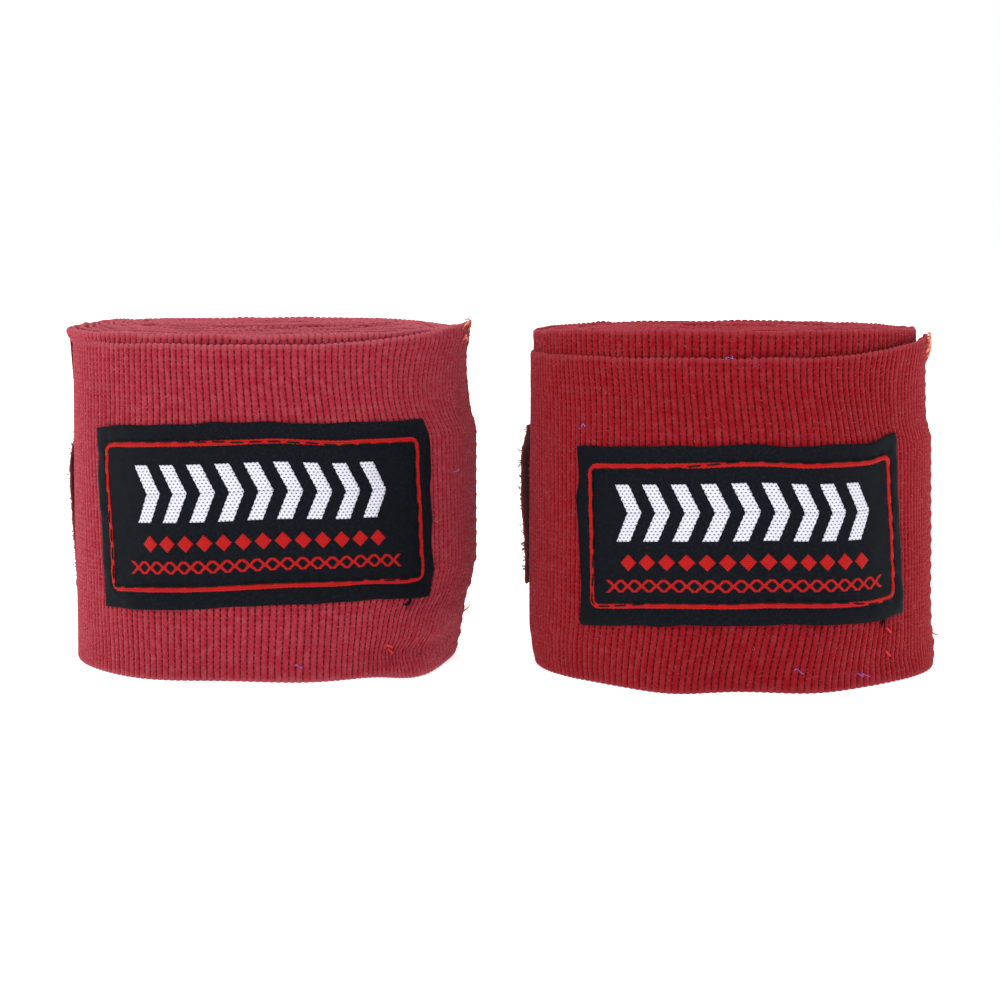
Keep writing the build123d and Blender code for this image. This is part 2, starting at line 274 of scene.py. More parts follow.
class Wrap:
    """One wrap's sizes, read from its CAD nodes, and how it differs from a perfect roll."""

    def __init__(
        self, name, seed, lip, front_drop, end_drops, flap_rise, end_gap, right_pull, left_pull,
        flares, dent, label_top, label_low, label_sides, lean, slack_lean, corner_loops,
        tails, bits, lint,
    ):
        self.name = name
        self.seed = seed
        self.lip = lip                      # how far the upper edge leans out at the left
        self.front_drop = front_drop        # how much lower the inner turns are in front
        self.end_drops = end_drops          # and at the left and right ends
        self.flap_rise = flap_rise          # how much the flap's upper edge stands up
        self.right_pull = right_pull        # how far each end is pressed in, by height
        self.left_pull = left_pull
        self.flares = flares                # where the flap's lower edge stands forward
        self.dent = dent                    # how deep the flap's lower right corner is dented
        self.label_top = label_top          # how far up the label's long edges stray, by the
        self.label_low = label_low          # share of its length
        self.label_sides = label_sides      # how far its corners stray: lower, upper; left, right
        self.lean = lean                    # the flap's ribs stray sideways, by height
        self.slack_lean = slack_lean        # the same near its slack end
        self.corner_loops = corner_loops    # overlock loops pulled out over the upper corner
        self.tails = tails                  # thread ends: height, aim, length, curl
        self.bits = bits                    # bits of red thread: x, height, aim
        self.lint = lint                    # violet lint
        turn_low, turn_high = box_mm(f"{name}_outer_turn")
        self.width = turn_high[2]
        self.centre = ((turn_low[0] + turn_high[0]) / 2, turn_low[1])
        self.reach = (turn_high[0] - turn_low[0] - STRIP_THICKNESS) / 2
        self.growth = self.reach - CORE_HALF_LENGTH
        self.pitch = self.growth / TURNS
        self.raised = box_mm(f"{name}_inner_turns")[0][2]
        self.patch_low, self.patch_high = (corner[2] for corner in box_mm(f"{name}_loop_patch"))
        flap_high = box_mm(f"{name}_closure_flap")[1]
        right = flap_high[0] - self.centre[0] - STRIP_THICKNESS / 2
        under = CORE_HALF_DEPTH + self.growth - self.pitch / 2 + STRIP_THICKNESS / 2
        stack = LOOP_THICKNESS + FRONT_CLEARANCE + HOOK_THICKNESS + STRIP_THICKNESS / 2
        self.flap_full = Oval(
            (self.reach + right) / 2, under + stack, FLAP_END_RADIUS, (right - self.reach) / 2
        )
        close_right = self.reach + STRIP_THICKNESS + end_gap
        self.flap_close = Oval(
            (self.reach + close_right) / 2,
            under + STRIP_THICKNESS / 2 + FLAP_CLEARANCE,
            CORE_END_RADIUS + self.growth,
            (close_right - self.reach) / 2,
        )
        label_low, label_high = box_mm(f"{name}_woven_label")
        self.label_x = (label_low[0] + label_high[0]) / 2 - self.centre[0]
        self.label_z = (label_low[2] + label_high[2]) / 2
        length = label_high[0] - label_low[0]
        height = label_high[2] - label_low[2]
        tilt_cos, tilt_sin = math.cos(LABEL_TILT), math.sin(LABEL_TILT)
        spread = tilt_cos**2 - tilt_sin**2
        self.label_length = (length * tilt_cos - height * tilt_sin) / spread
        self.label_height = (height * tilt_cos - length * tilt_sin) / spread
        self.roll = f"{name}_roll"
        self.flap = f"{name}_flap"
        self.strip_slot = f"{name}_strip"

    def place(self, x, y, z):
        """Points in the frame from points about the roll's axis. The roll is pressed in at
        both its ends."""
        x, y, z = np.broadcast_arrays(x, y, z)
        x = x - eased(z, self.right_pull) * smooth(0.2 * self.reach, self.reach, x)
        x = x + eased(z, self.left_pull) * smooth(0.2 * self.reach, self.reach, -x)
        return np.stack([x + self.centre[0], y + self.centre[1], z], axis=-1)

    def on_strip(self, path, distance, z, offset):
        """Points at an offset outwards from a stretch of the strip: the one place where every
        layer of it gets its bulges, flares and dent, so that they move together."""
        patches = smooth(1.5, self.patch_low + 1, z)
        patches = patches * (1 - smooth(self.patch_high - 1, self.width - 4, z))
        x, y, normal_x, normal_y = path.read(distance, patches)
        place = x / SWELL_CELL + z / 31, y / SWELL_CELL + z / 23
        offset = offset + SWELL_SIZE * noise(*place, self.seed + 2)
        if path.loose:
            loose = smooth(2, 14, -y)
            for middle, half_width, size in self.flares:
                flare = size * hill(x, middle, half_width) * (1 - smooth(0, FLARE_HEIGHT, z))
                y = y - flare * loose
            crease = hill(x, DENT_PLACE * self.reach, DENT_HALF_WIDTH)
            crease = crease * hill(z, DENT_HEIGHT, DENT_HALF_HEIGHT)
            offset = offset - self.dent * crease * smooth(3, 12, -y)
        return self.place(x + normal_x * offset, y + normal_y * offset, z)


# ---------------------------------------------------------------- meshes

def add_object(name, points, faces, material, slot, uv=None, edge=None):
    """A piece from points in millimetres, quads, one (u, v) for each point and how near an
    edge of the cloth each one is, from 0 to 1."""
    mesh = bpy.data.meshes.new(name)
    faces = np.asarray(faces, dtype=np.int32)
    mesh.vertices.add(len(points))
    mesh.vertices.foreach_set("co", (np.asarray(points) * MM).astype(np.float32).ravel())
    mesh.loops.add(faces.size)
    mesh.loops.foreach_set("vertex_index", faces.ravel())
    mesh.polygons.add(len(faces))
    starts = np.arange(0, faces.size, faces.shape[1], dtype=np.int32)
    mesh.polygons.foreach_set("loop_start", starts)
    mesh.update(calc_edges=True)
    mesh.validate()
    if uv is not None:
        layer = mesh.uv_layers.new(name="cloth")
        layer.data.foreach_set("uv", np.asarray(uv, np.float32)[faces.ravel()].ravel())
    if edge is not None:
        layer = mesh.attributes.new("edge", "FLOAT", "POINT")
        layer.data.foreach_set("value", np.asarray(edge, np.float32))
    mesh.polygons.foreach_set("use_smooth", np.ones(len(faces), dtype=bool))
    mesh.materials.append(material)
    piece = bpy.data.objects.new(name, mesh)
    bpy.context.scene.collection.objects.link(piece)
    return piece


def grid_faces(rows, columns, wrap_rows=False):
    """Quads of a grid of points that is rows tall and columns wide."""
    row_count = rows if wrap_rows else rows - 1
    row, column = np.meshgrid(np.arange(row_count), np.arange(columns - 1), indexing="ij")
    above = (row + 1) % rows
    quads = [
        row * columns + column,
        row * columns + column + 1,
        above * columns + column + 1,
        above * columns + column,
    ]
    return np.stack([q.ravel() for q in quads], axis=1)


def shell_faces(rows, columns):
    """Quads of a closed sheet: an outer grid, then an inner grid, sewn along their rims. Rows
    run outside up, over the edge and inside down, so that they close in a ring."""
    ring = grid_faces(2 * rows, columns, wrap_rows=True)
    low = np.arange(rows - 1)
    first = np.stack([low, low + 1, 2 * rows - 2 - low, 2 * rows - 1 - low], axis=1)
    start_cap = first * columns
    end_cap = (first * columns + columns - 1)[:, ::-1]
    return np.vstack([ring, start_cap, end_cap])


def both_sides(outside, inside, size=None):
    """The outer grid's values, then the inner grid's, upside down, as one list."""
    values = np.concatenate([outside, inside[::-1]])
    return values.reshape(-1, size) if size else values.ravel()


def add_sheet(name, outside, inside, uv, near, material, slot):
    """A closed sheet between an outer and an inner grid of points."""
    edge = None if near is None else both_sides(near, near)
    return add_object(
        name, both_sides(outside, inside, 3), shell_faces(*outside.shape[:2]), material, slot,
        both_sides(uv, uv, 2), edge,
    )


# ---------------------------------------------------------------- knitted cloth

def rib_columns(length, fractions, seed):
    """Distances along the strip, and the rib coordinate, of the grid's columns. Ribs differ a
    little in width."""
    count = int(round(length / RIB_PITCH))
    widths = 1 + np.random.default_rng(seed).uniform(-0.05, 0.05, count)
    edges = np.concatenate([[0.0], np.cumsum(widths)])
    edges *= length / edges[-1]
    rib = (np.arange(count)[:, None] + np.array(fractions)[None, :]).ravel()
    rib = np.append(rib, count)
    return np.interp(rib, np.arange(count + 1), edges), rib


def row_heights(width, edge_rows, count):
    """Heights of the grid's rows over the strip's width, closer together at both edges."""
    middle = np.linspace(edge_rows[-1], width - edge_rows[-1], count)
    low = np.array(edge_rows[:-1])
    return np.concatenate([low, middle, width - low[::-1]])


def lip(wrap, path, distance, z):
    """How far the inner turns' upper edge leans out at the roll's left end."""
    if path.loose:
        return 0.0
    heading = np.interp(distance, path.distance, path.heading)
    beside = np.clip(-np.cos(heading), 0, 1) ** 4
    outermost = smooth(2 * TURNS - 9, 2 * TURNS - 1.5, heading / np.pi)
    above = smooth(wrap.width - 2.0, wrap.width + wrap.raised - 0.5, z)
    return wrap.lip * beside * above * outermost


def cloth(wrap, path, distance, rib, heights, thickness, seed):
    """A stretch of strip: the points of its outer and inner faces, their UVs, and how near an
    edge each one is."""
    low, high = (edge[None, :] for edge in strip_edges(wrap, path, distance))
    z = low + (heights / heights[-1])[:, None] * (high - low)
    near_top, near_low = high - z, z - low
    crown = 0.5 - groove(rib)[None, :]
    z = z + crown * CROWN_TOP * (1 - smooth(0, CROWN_REACH, near_top))
    z = z - crown * CROWN_LOW * (1 - smooth(0, CROWN_REACH, near_low))
    edge = np.minimum(near_top, near_low)
    from_edge = np.clip(edge / EDGE_RADIUS, 0, 1)
    roundness = np.sqrt(np.clip(1 - (1 - from_edge) ** 2, THINNEST_EDGE, 1))
    column = distance[None, :]
    wave = WAVE_SIZE * noise(column / WAVE_CELL[0], z / WAVE_CELL[1], seed)
    wave = wave + WOBBLE_SIZE * noise(column / WOBBLE_CELL[0], z / WOBBLE_CELL[1], seed + 1)
    if path.loose:
        slack = smooth(path.length - SLACK_LEAN[0], path.length - SLACK_LEAN[1], column)
        wave = wave + eased(z, wrap.lean) * (1 - slack) + eased(z, wrap.slack_lean) * slack
    ease = smooth(0, 12, column) * smooth(0, 3, path.length - column)
    along = column + wave * ease
    fullness = 1 + 0.3 * noise(rib[None, :] * 0.73, z / 5, seed + 3)
    beside = np.cos(np.interp(distance, path.distance, path.heading))[None, :] ** 4
    crease = RIB_DEPTH * groove(rib)[None, :] * fullness * (1 - (1 - SIDE_CREASE) * beside)
    lint = LINT_SIZE * noise(column / LINT_CELL[0], z / LINT_CELL[1], seed + 4)
    leaning = lip(wrap, path, along, z)
    outer = thickness / 2 * roundness - crease * roundness + lint + leaning
    inner = -thickness / 2 * roundness + INNER_CREASE * crease * roundness + leaning
    z = z - 0.5 * leaning * smooth(wrap.width - 2, wrap.width + 2, z)
    outside = wrap.on_strip(path, along, z, outer)
    inside = wrap.on_strip(path, along, z, inner)
    uv = np.stack(np.broadcast_arrays(rib[None, :], z), axis=-1)
    return outside, inside, uv, 1 - smooth(0.0, 0.9, edge)


def strip_edges(wrap, path, distance):
    """The heights of the strip's two edges by distance: each wound turn stands a little up or
    down, the last one comes down to the floor, and the flap rises to its slack end."""
    heading = np.interp(distance, path.distance, path.heading)
    half_turn = heading / np.pi
    waves = [noise(half_turn / 2 * step, 0.5, wrap.seed + step) for step in EDGE_SWAY_STEPS]
    _, medium, quick = waves
    settled = smooth(2 * TURNS, 2 * TURNS + FLAP_START, half_turn)
    slack = smooth(2 * TURNS + FLAP_SLACK[0], 2 * TURNS + FLAP_SLACK[1], half_turn)
    sway = sum(size * wave for size, wave in zip(EDGE_SWAY, waves))
    outer = smooth(TURNS, 2 * TURNS - 4, half_turn)
    left_drop, right_drop = wrap.end_drops
    end_drop = np.where(np.cos(heading) < 0, left_drop, right_drop) * np.cos(heading) ** 6
    drop = outer * (wrap.front_drop * np.clip(-np.sin(heading), 0, 1) + end_drop)
    low = (wrap.raised + sway - drop) * (1 - settled) + FLOOR_GAP * settled * (1 + medium)
    high = low + wrap.width - 0.15 + RAISED_END * slack + 0.12 * quick + wrap.flap_rise * settled
    return low + 0.1 * slack, high


def strip_piece(wrap, name, path, fractions, heights, thickness, seed):
    """A stretch of the strip as a piece."""
    distance, rib = rib_columns(path.length, fractions, seed)
    grids = cloth(wrap, path, distance, rib, heights, thickness, seed)
    piece = add_sheet(f"{wrap.name}_{name}", *grids, CLOTH[wrap.name], wrap.strip_slot)
    return piece


# ---------------------------------------------------------------- thread, pile and fuzz

def tube_mesh(lines, radii, sides):
    """Points and quads of round tubes along lines that have the same number of points: lines
    is (tubes, points, 3), and radii is (tubes, points)."""
    count, length, _ = lines.shape
    tangent = np.gradient(lines, axis=1)
    tangent /= np.linalg.norm(tangent, axis=2, keepdims=True) + 1e-12
    helper = np.where(np.abs(tangent[..., 2:3]) < 0.8, [[[0.0, 0.0, 1.0]]], [[[1.0, 0.0, 0.0]]])
    across = np.cross(tangent, helper)
    across /= np.linalg.norm(across, axis=2, keepdims=True) + 1e-12
    other = np.cross(tangent, across)
    angle = np.arange(sides) * 2 * np.pi / sides
    ring = across[:, :, None] * np.cos(angle)[:, None] + other[:, :, None] * np.sin(angle)[:, None]
    points = lines[:, :, None] + ring * radii[:, :, None, None]
    step, side = np.meshgrid(np.arange(length - 1), np.arange(sides), indexing="ij")
    beside = (side + 1) % sides
    quad = np.stack(
        [step * sides + side, step * sides + beside, (step + 1) * sides + beside,
         (step + 1) * sides + side], axis=-1
    ).reshape(-1, 4)
    starts = np.arange(count)[:, None, None] * length * sides
    return points.reshape(-1, 3), (quad[None] + starts).reshape(-1, 4)


def strands(name, roots, aim, lengths, seed, material, slot):
    """Loose fibres: each leaves its root along its aim and bends off at random."""
    random = np.random.default_rng(seed)
    aim = aim / np.linalg.norm(aim, axis=1, keepdims=True)
    share = np.linspace(0, 1, FIBRE_POINTS)[None, :, None]
    turn = random.normal(0, FIBRE_BEND, (len(roots), 1, 3))
    curl = random.normal(0, FIBRE_BEND * 0.5, (len(roots), 1, 3))
    line = aim[:, None] * share + turn * share**2 * 0.6 + curl * share**3 * 0.6
    lines = roots[:, None] + line * lengths[:, None, None]
    radii = FIBRE_RADIUS * (1 - 0.75 * share[..., 0] ** 2) * np.ones((len(roots), 1))
    points, faces = tube_mesh(lines, radii, 3)
    return add_object(name, points, faces, material, slot)


def stitch_share(index, gap, share):
    """How far along a seam a stitch is, in stitches, with a gap at both its ends."""
    return index + gap + (1 - 2 * gap) * share


def threads(name, lines, radius, material, slot, ends=0.35):
    """Sewn thread: a tube along each line, thinner where it goes into the cloth."""
    share = np.linspace(0, 1, lines.shape[1])
    taper = ends + (1 - ends) * np.clip(np.sin(np.pi * share) * 3, 0, 1)
    radii = radius * np.tile(taper, (len(lines), 1))
    points, faces = tube_mesh(lines, radii, THREAD_SIDES)
    return add_object(name, points, faces, material, slot)


# ---------------------------------------------------------------- materials

class Shader:
    """Short names for building one material's nodes."""

    def __init__(self, name, **sockets):
        self.material = bpy.data.materials.new(name)
        self.material.use_nodes = True
        self.tree = self.material.node_tree
        self.surface = self.tree.nodes["Principled BSDF"]
        for socket, value in sockets.items():
            self.surface.inputs[socket.replace("_", " ")].default_value = value

    def node(self, kind, **inputs):
        """A node of that kind, with inputs by index, such as i0, set or linked."""
        node = self.tree.nodes.new(kind)
        for key, value in inputs.items():
            socket = node.inputs[int(key[1:])]
            if isinstance(value, bpy.types.NodeSocket):
                self.tree.links.new(value, socket)
            else:
                socket.default_value = value
        return node

    def math(self, operation, first, second=0.0, clamp=False):
        node = self.node("ShaderNodeMath", i0=first, i1=second)
        node.operation = operation
        node.use_clamp = clamp
        return node.outputs[0]

    def times(self, first, second):
        return self.math("MULTIPLY", first, second)

    def plus(self, first, second):
        return self.math("ADD", first, second)

    def minus(self, first, second):
        return self.math("SUBTRACT", first, second)

    def step(self, value, low, high):
        node = self.node("ShaderNodeMapRange", i0=value, i1=low, i2=high)
        node.interpolation_type = "SMOOTHSTEP"
        return node.outputs[0]

    def mix(self, share, first, second):
        node = self.tree.nodes.new("ShaderNodeMix")
        node.data_type = "RGBA"
        for index, value in ((0, share), (6, first), (7, second)):
            if isinstance(value, bpy.types.NodeSocket):
                self.tree.links.new(value, node.inputs[index])
            else:
                node.inputs[index].default_value = value
        return node.outputs[2]

    def noise(self, vector, scale, detail=2.0, rough=0.5):
        node = self.node("ShaderNodeTexNoise", i0=vector, i2=scale, i3=detail, i4=rough)
        return node.outputs[0]

    def cloth_uv(self):
        """The two sewing coordinates of a piece, and a vector of them in millimetres."""
        uv = self.tree.nodes.new("ShaderNodeUVMap")
        uv.uv_map = "cloth"
        parts = self.node("ShaderNodeSeparateXYZ", i0=uv.outputs[0])
        return parts.outputs[0], parts.outputs[1], uv.outputs[0]

    def edge(self):
        node = self.tree.nodes.new("ShaderNodeAttribute")
        node.attribute_name = "edge"
        return node.outputs["Fac"]

    def object_place(self):
        return self.tree.nodes.new("ShaderNodeTexCoord").outputs["Object"]

    def bump(self, height, distance, strength=1.0):
        node = self.node("ShaderNodeBump", i0=strength, i1=distance * MM)
        self.tree.links.new(height, node.inputs["Height"])
        self.tree.links.new(node.outputs[0], self.surface.inputs["Normal"])

    def colour(self, output):
        self.tree.links.new(output, self.surface.inputs["Base Color"])

    def roughness(self, output):
        self.tree.links.new(output, self.surface.inputs["Roughness"])


def tone(red, green, blue):
    return (red, green, blue, 1.0)


def knit_material(name, deep, mid, pale):
    """Ribbed elastic cotton: small knit stitches along each rib, painted shade in the grooves between
    ribs broken into dashes, and a painted sheen of pale fuzz specks that shows most where the cloth
    turns away."""
    s = Shader(
        name, Roughness=0.95, Sheen_Weight=0.07, Sheen_Roughness=0.5,
        Sheen_Tint=tone(1.0, 0.45, 0.5), Specular_IOR_Level=0.1,
    )
    rib, height, _ = s.cloth_uv()
    place = s.node("ShaderNodeCombineXYZ", i0=s.times(rib, RIB_PITCH), i1=height)
    place = place.outputs[0]
    mottle = s.noise(place, 0.7, 3.0, 0.6)
    specks = s.noise(place, 4.2, 3.0, 0.7)
    flecks = s.noise(place, 2.1, 2.0, 0.5)
    away = s.math("ABSOLUTE", s.minus(s.math("FRACT", rib), 0.5))
    phase = s.times(height, 2 * math.pi / BEAD_PITCH)
    bead = s.math("SINE", s.plus(phase, s.times(mottle, 8.0)))
    width = s.plus(s.times(bead, 0.03), s.times(specks, 0.16))
    in_groove = s.step(s.plus(away, width), 0.42, 0.54)
    stitch = s.plus(s.times(height, 1 / 0.78), s.times(away, 1.1))
    stitch = s.math("SINE", s.times(stitch, 2 * math.pi))
    # painted sheen: pale specks mixed in where the cloth faces away from the camera
    grazing = s.node("ShaderNodeLayerWeight", i0=0.5).outputs[1]
    sheen_at_grazing = s.step(grazing, 0.15, 0.6)
    colour = s.mix(s.times(s.step(mottle, 0.35, 0.75), 0.35), mid, pale)
    colour = s.mix(s.times(s.step(specks, 0.55, 0.4), 0.3), colour, deep)
    colour = s.mix(s.times(s.step(flecks, 0.62, 0.78), 0.5), colour, pale)
    painted_sheen_specks = s.times(s.step(specks, 0.48, 0.62), sheen_at_grazing)
    colour = s.mix(s.times(painted_sheen_specks, 0.7), colour, pale)
    # painted shade in the grooves between the ribs, faded where the cloth turns away and broken into
    # dashes along each groove
    dark = s.times(in_groove, s.minus(1.0, s.times(sheen_at_grazing, 0.85)))
    beaded = s.step(s.plus(bead, s.times(specks, 2.0)), 0.4, 1.4)
    dark = s.times(dark, s.plus(0.55, s.times(beaded, 0.45)))
    colour = s.mix(s.times(dark, 0.95), colour, deep)
    # paler near the strip's edges: the selvedge's own fuzz, and partly a painted highlight for the
    # light falling on the roll's top face
    colour = s.mix(s.times(s.edge(), 0.5), colour, pale)
    s.colour(colour)
    relief = s.plus(s.times(stitch, 0.22), s.times(specks, 1.0))
    relief = s.minus(relief, s.times(in_groove, 0.5))
    s.bump(relief, 0.16, 0.9)
    return s.material


def fibre_material(name, dark, light, scale=900.0):
    """Loose or sewn fibre: fine colour changes along its place."""
    s = Shader(name, Roughness=0.8, Sheen_Weight=0.2, Sheen_Roughness=0.4)
    s.colour(s.mix(s.step(s.noise(s.object_place(), scale, 2.0), 0.35, 0.65), dark, light))
    return s.material


def thread_material(name, dark, light, shine=0.3):
    """Spun polyester thread: fine slanting plies."""
    s = Shader(name, Roughness=0.55, Specular_IOR_Level=shine)
    place = s.object_place()
    wave = s.node("ShaderNodeTexWave", i0=place, i1=1500.0, i2=2.0, i3=1.0)
    wave.bands_direction = "DIAGONAL"
    ply = wave.outputs[1]
    s.colour(s.mix(ply, dark, light))
    s.bump(ply, 0.05, 0.7)
    return s.material


def satin_material(name, dark, light):
    """The label's ground: fine satin floats across the label, with a faint twill."""
    s = Shader(name, Roughness=0.7, Specular_IOR_Level=0.05)
    across, up, place = s.cloth_uv()
    float_line = s.math("SINE", s.times(up, 2 * math.pi / 0.26))
    pick = s.times(s.plus(across, s.times(up, 0.5)), 2 * math.pi / 0.34)
    pick = s.math("SINE", pick)
    weave = s.times(float_line, pick)
    specks = s.noise(place, 2.2, 3.0, 0.7)
    shade = s.plus(s.times(weave, 0.4), s.step(specks, 0.4, 0.8))
    s.colour(s.mix(s.math("MULTIPLY", shade, 0.8, clamp=True), dark, light))
    relief = s.plus(s.times(weave, 0.5), s.times(specks, 0.6))
    s.bump(relief, 0.07, 0.9)
    s.roughness(s.step(specks, -0.6, 1.4))
    return s.material


def motif_material(name, thread, hole, lattice):
    """Woven figures: bright floats bound down by a lattice of small holes."""
    s = Shader(name, Roughness=0.65, Specular_IOR_Level=0.15, Sheen_Weight=0.03)
    across, up, place = s.cloth_uv()
    row = s.math("DIVIDE", up, lattice[1])
    offset = s.times(s.math("FLOOR", row), 0.5)
    column = s.plus(s.math("DIVIDE", across, lattice[0]), offset)
    in_column = s.minus(s.math("FRACT", column), 0.5)
    in_row = s.minus(s.math("FRACT", row), 0.5)
    far = s.math("SQRT", s.plus(s.times(in_column, in_column),
                                s.times(in_row, in_row)))
    solid = s.step(far, 0.1, 0.3)
    ply = s.math("SINE", s.times(s.plus(up, across), 2 * math.pi / 0.19))
    specks = s.noise(place, 3.0, 2.0)
    bright = s.mix(s.times(s.step(specks, 0.3, 0.8), 0.35), thread,
                   tone(*(0.78 * c for c in thread[:3])))
    s.colour(s.mix(solid, hole, bright))
    relief = s.plus(s.times(solid, 0.9), s.times(ply, 0.12))
    s.bump(relief, 0.12, 1.0)
    return s.material


def floor_material():
    s = Shader("studio_floor", Roughness=0.9, Specular_IOR_Level=0.1)
    grain = s.noise(s.object_place(), 900.0, 2.0)
    s.colour(s.mix(grain, tone(0.93, 0.93, 0.93), tone(0.95, 0.95, 0.95)))
    s.surface.inputs["Emission Color"].default_value = tone(1.0, 1.0, 1.0)
    s.surface.inputs["Emission Strength"].default_value = 0.6
    return s.material


# Each cloth's tones: deep for its dark specks and the painted shade in the grooves, mid, and pale for
# its pale flecks, the painted sheen at grazing angles and the paler edges, which are partly painted
# highlight
CLOTH = {
    "left": knit_material(
        "left_strip_knit",
        tone(0.085, 0.002, 0.004), tone(0.335, 0.0165, 0.031), tone(0.46, 0.105, 0.135),
    ),
    "right": knit_material(
        "right_strip_knit",
        tone(0.055, 0.0005, 0.001), tone(0.26, 0.0025, 0.007), tone(0.35, 0.045, 0.06),
    ),
}
FUZZ = {
    "left": fibre_material("left_fuzz", tone(0.4, 0.05, 0.07), tone(0.62, 0.22, 0.26)),
    "right": fibre_material("right_fuzz", tone(0.32, 0.025, 0.035), tone(0.55, 0.16, 0.18)),
}
PILE = fibre_material("loop_pile", tone(0.08, 0.002, 0.003), tone(0.21, 0.009, 0.011), 2600.0)
HOOKS = fibre_material("hook_nylon", tone(0.2, 0.006, 0.01), tone(0.27, 0.012, 0.018), 3000.0)
SATIN = satin_material("label_satin", tone(0.002, 0.003, 0.005), tone(0.013, 0.016, 0.022))
WHITE = motif_material("label_white", tone(0.68, 0.68, 0.77), tone(0.065, 0.075, 0.11), (0.62, 0.46))
RED = motif_material("label_red", tone(0.45, 0.003, 0.002), tone(0.2, 0.002, 0.002), (0.4, 0.3))
LINT = fibre_material("violet_lint", tone(0.12, 0.07, 0.4), tone(0.3, 0.2, 0.7))
BLACK_THREAD = thread_material(
    "black_thread", tone(0.002, 0.002, 0.003), tone(0.01, 0.01, 0.013), shine=0.06
)
RED_THREAD = thread_material("red_thread", tone(0.4, 0.008, 0.008), tone(0.72, 0.04, 0.03))
OVERLOCK = fibre_material("overlock_thread", tone(0.55, 0.06, 0.03), tone(0.9, 0.3, 0.16))


# ---------------------------------------------------------------- the strip

BEND_START = (-31.2, 2.0)    # where the flap starts to turn, about the roll's axis in plan
BEND_END = (-25.2, -4.0)     # and where it turns fully


def with_flap(wrap, *pieces):
    """Pieces that cross the flap's hinge: each one's transform is baked into its mesh."""
    start, end = (
        ((wrap.centre[0] + x) * MM, (wrap.centre[1] + y) * MM, 0.0) for x, y in (BEND_START, BEND_END)
    )
    for piece in pieces:
        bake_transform(piece)
        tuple(start)
        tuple(end)


def make_strip(wrap):
    """The strip from its inner end in the core to the flap's slack end."""
    fine = row_heights(wrap.width, EDGE_ROWS, int(wrap.width / ROW_STEP))
    coarse = row_heights(wrap.width, WOUND_ROWS, 3)
    under_flap = (2 * TURNS - 1) * math.pi
    last_back = 2 * TURNS * math.pi
    flap_first = (2 * TURNS + FLAP_START) * math.pi
    runs = [
        ("core_turns", spiral_path(wrap, 0.0, CORE_SHEET_HEADING), EDGE_COLUMNS, coarse),
        ("middle_turns", spiral_path(wrap, CORE_SHEET_HEADING, under_flap), EDGE_COLUMNS, coarse),
        ("turn_under_flap", spiral_path(wrap, under_flap, last_back), RIB_COLUMNS, fine),
        ("back_turn", spiral_path(wrap, last_back, flap_first), RIB_COLUMNS, fine),
    ]
    pieces = {}
    for index, (name, path, columns, heights) in enumerate(runs):
        seed = wrap.seed + 20 + 10 * index
        piece = strip_piece(wrap, name, path, columns, heights, PACKED_THICKNESS, seed)
        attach(piece, wrap.roll)
        pieces[name] = (piece, path)
    path = flap_path(wrap, flap_first)
    flap = strip_piece(wrap, "flap_cloth", path, RIB_COLUMNS, fine, FLAP_THICKNESS, wrap.seed + 70)
    with_flap(wrap, flap)
    pieces["flap_cloth"] = (flap, path)
    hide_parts(f"{wrap.name}_inner_turns")
    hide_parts(f"{wrap.name}_outer_turn")
    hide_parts(f"{wrap.name}_closure_flap")
    return pieces


def face_fuzz(wrap, name, path, density, low, high, seed, bare=None):
    """Short fibres on the cloth's outer face between two heights. bare says, for distances and
    heights, where there are none."""
    random = np.random.default_rng(seed)
    count = int(density * path.length * (high - low))
    distance = random.uniform(0, path.length, count)
    z = random.uniform(low, high, count)
    if bare is not None:
        kept = ~bare(distance, z)
        distance, z = distance[kept], z[kept]
    lift = FLAP_THICKNESS / 2 - 0.1 + lip(wrap, path, distance, z)
    roots = wrap.on_strip(path, distance, z, lift)
    aim = wrap.on_strip(path, distance, z, lift + 1) - roots
    aim = aim + random.normal(0, 0.9, (len(z), 3))
    lengths = 0.14 + random.gamma(1.4, 0.1, len(z))
    return strands(
        f"{wrap.name}_{name}", roots, aim, lengths, seed + 1, FUZZ[wrap.name], wrap.strip_slot
    )


def edge_fuzz(wrap, name, path, density, seed):
    """Fibres that stand up from the strip's two edges."""
    random = np.random.default_rng(seed)
    count = int(density * path.length)
    distance = random.uniform(0, path.length, count)
    low, high = strip_edges(wrap, path, distance)
    top = random.uniform(0, 1, count) < 0.75
    z = np.where(top, high - 0.1, low + 0.1)
    leaning = lip(wrap, path, distance, z)
    lift = random.uniform(-0.25, 0.25, count) + leaning
    z = z - 0.5 * leaning
    roots = wrap.on_strip(path, distance, z, lift)
    aim = random.normal(0, 0.6, (count, 3))
    aim[:, 2] += np.where(top, 1.0, -1.0)
    lengths = 0.1 + random.gamma(1.4, 0.07, count)
    lengths = np.where(top, lengths, 0.15)
    return strands(
        f"{wrap.name}_{name}", roots, aim, lengths, seed + 1, FUZZ[wrap.name], wrap.strip_slot
    )


# ---------------------------------------------------------------- what is sewn on

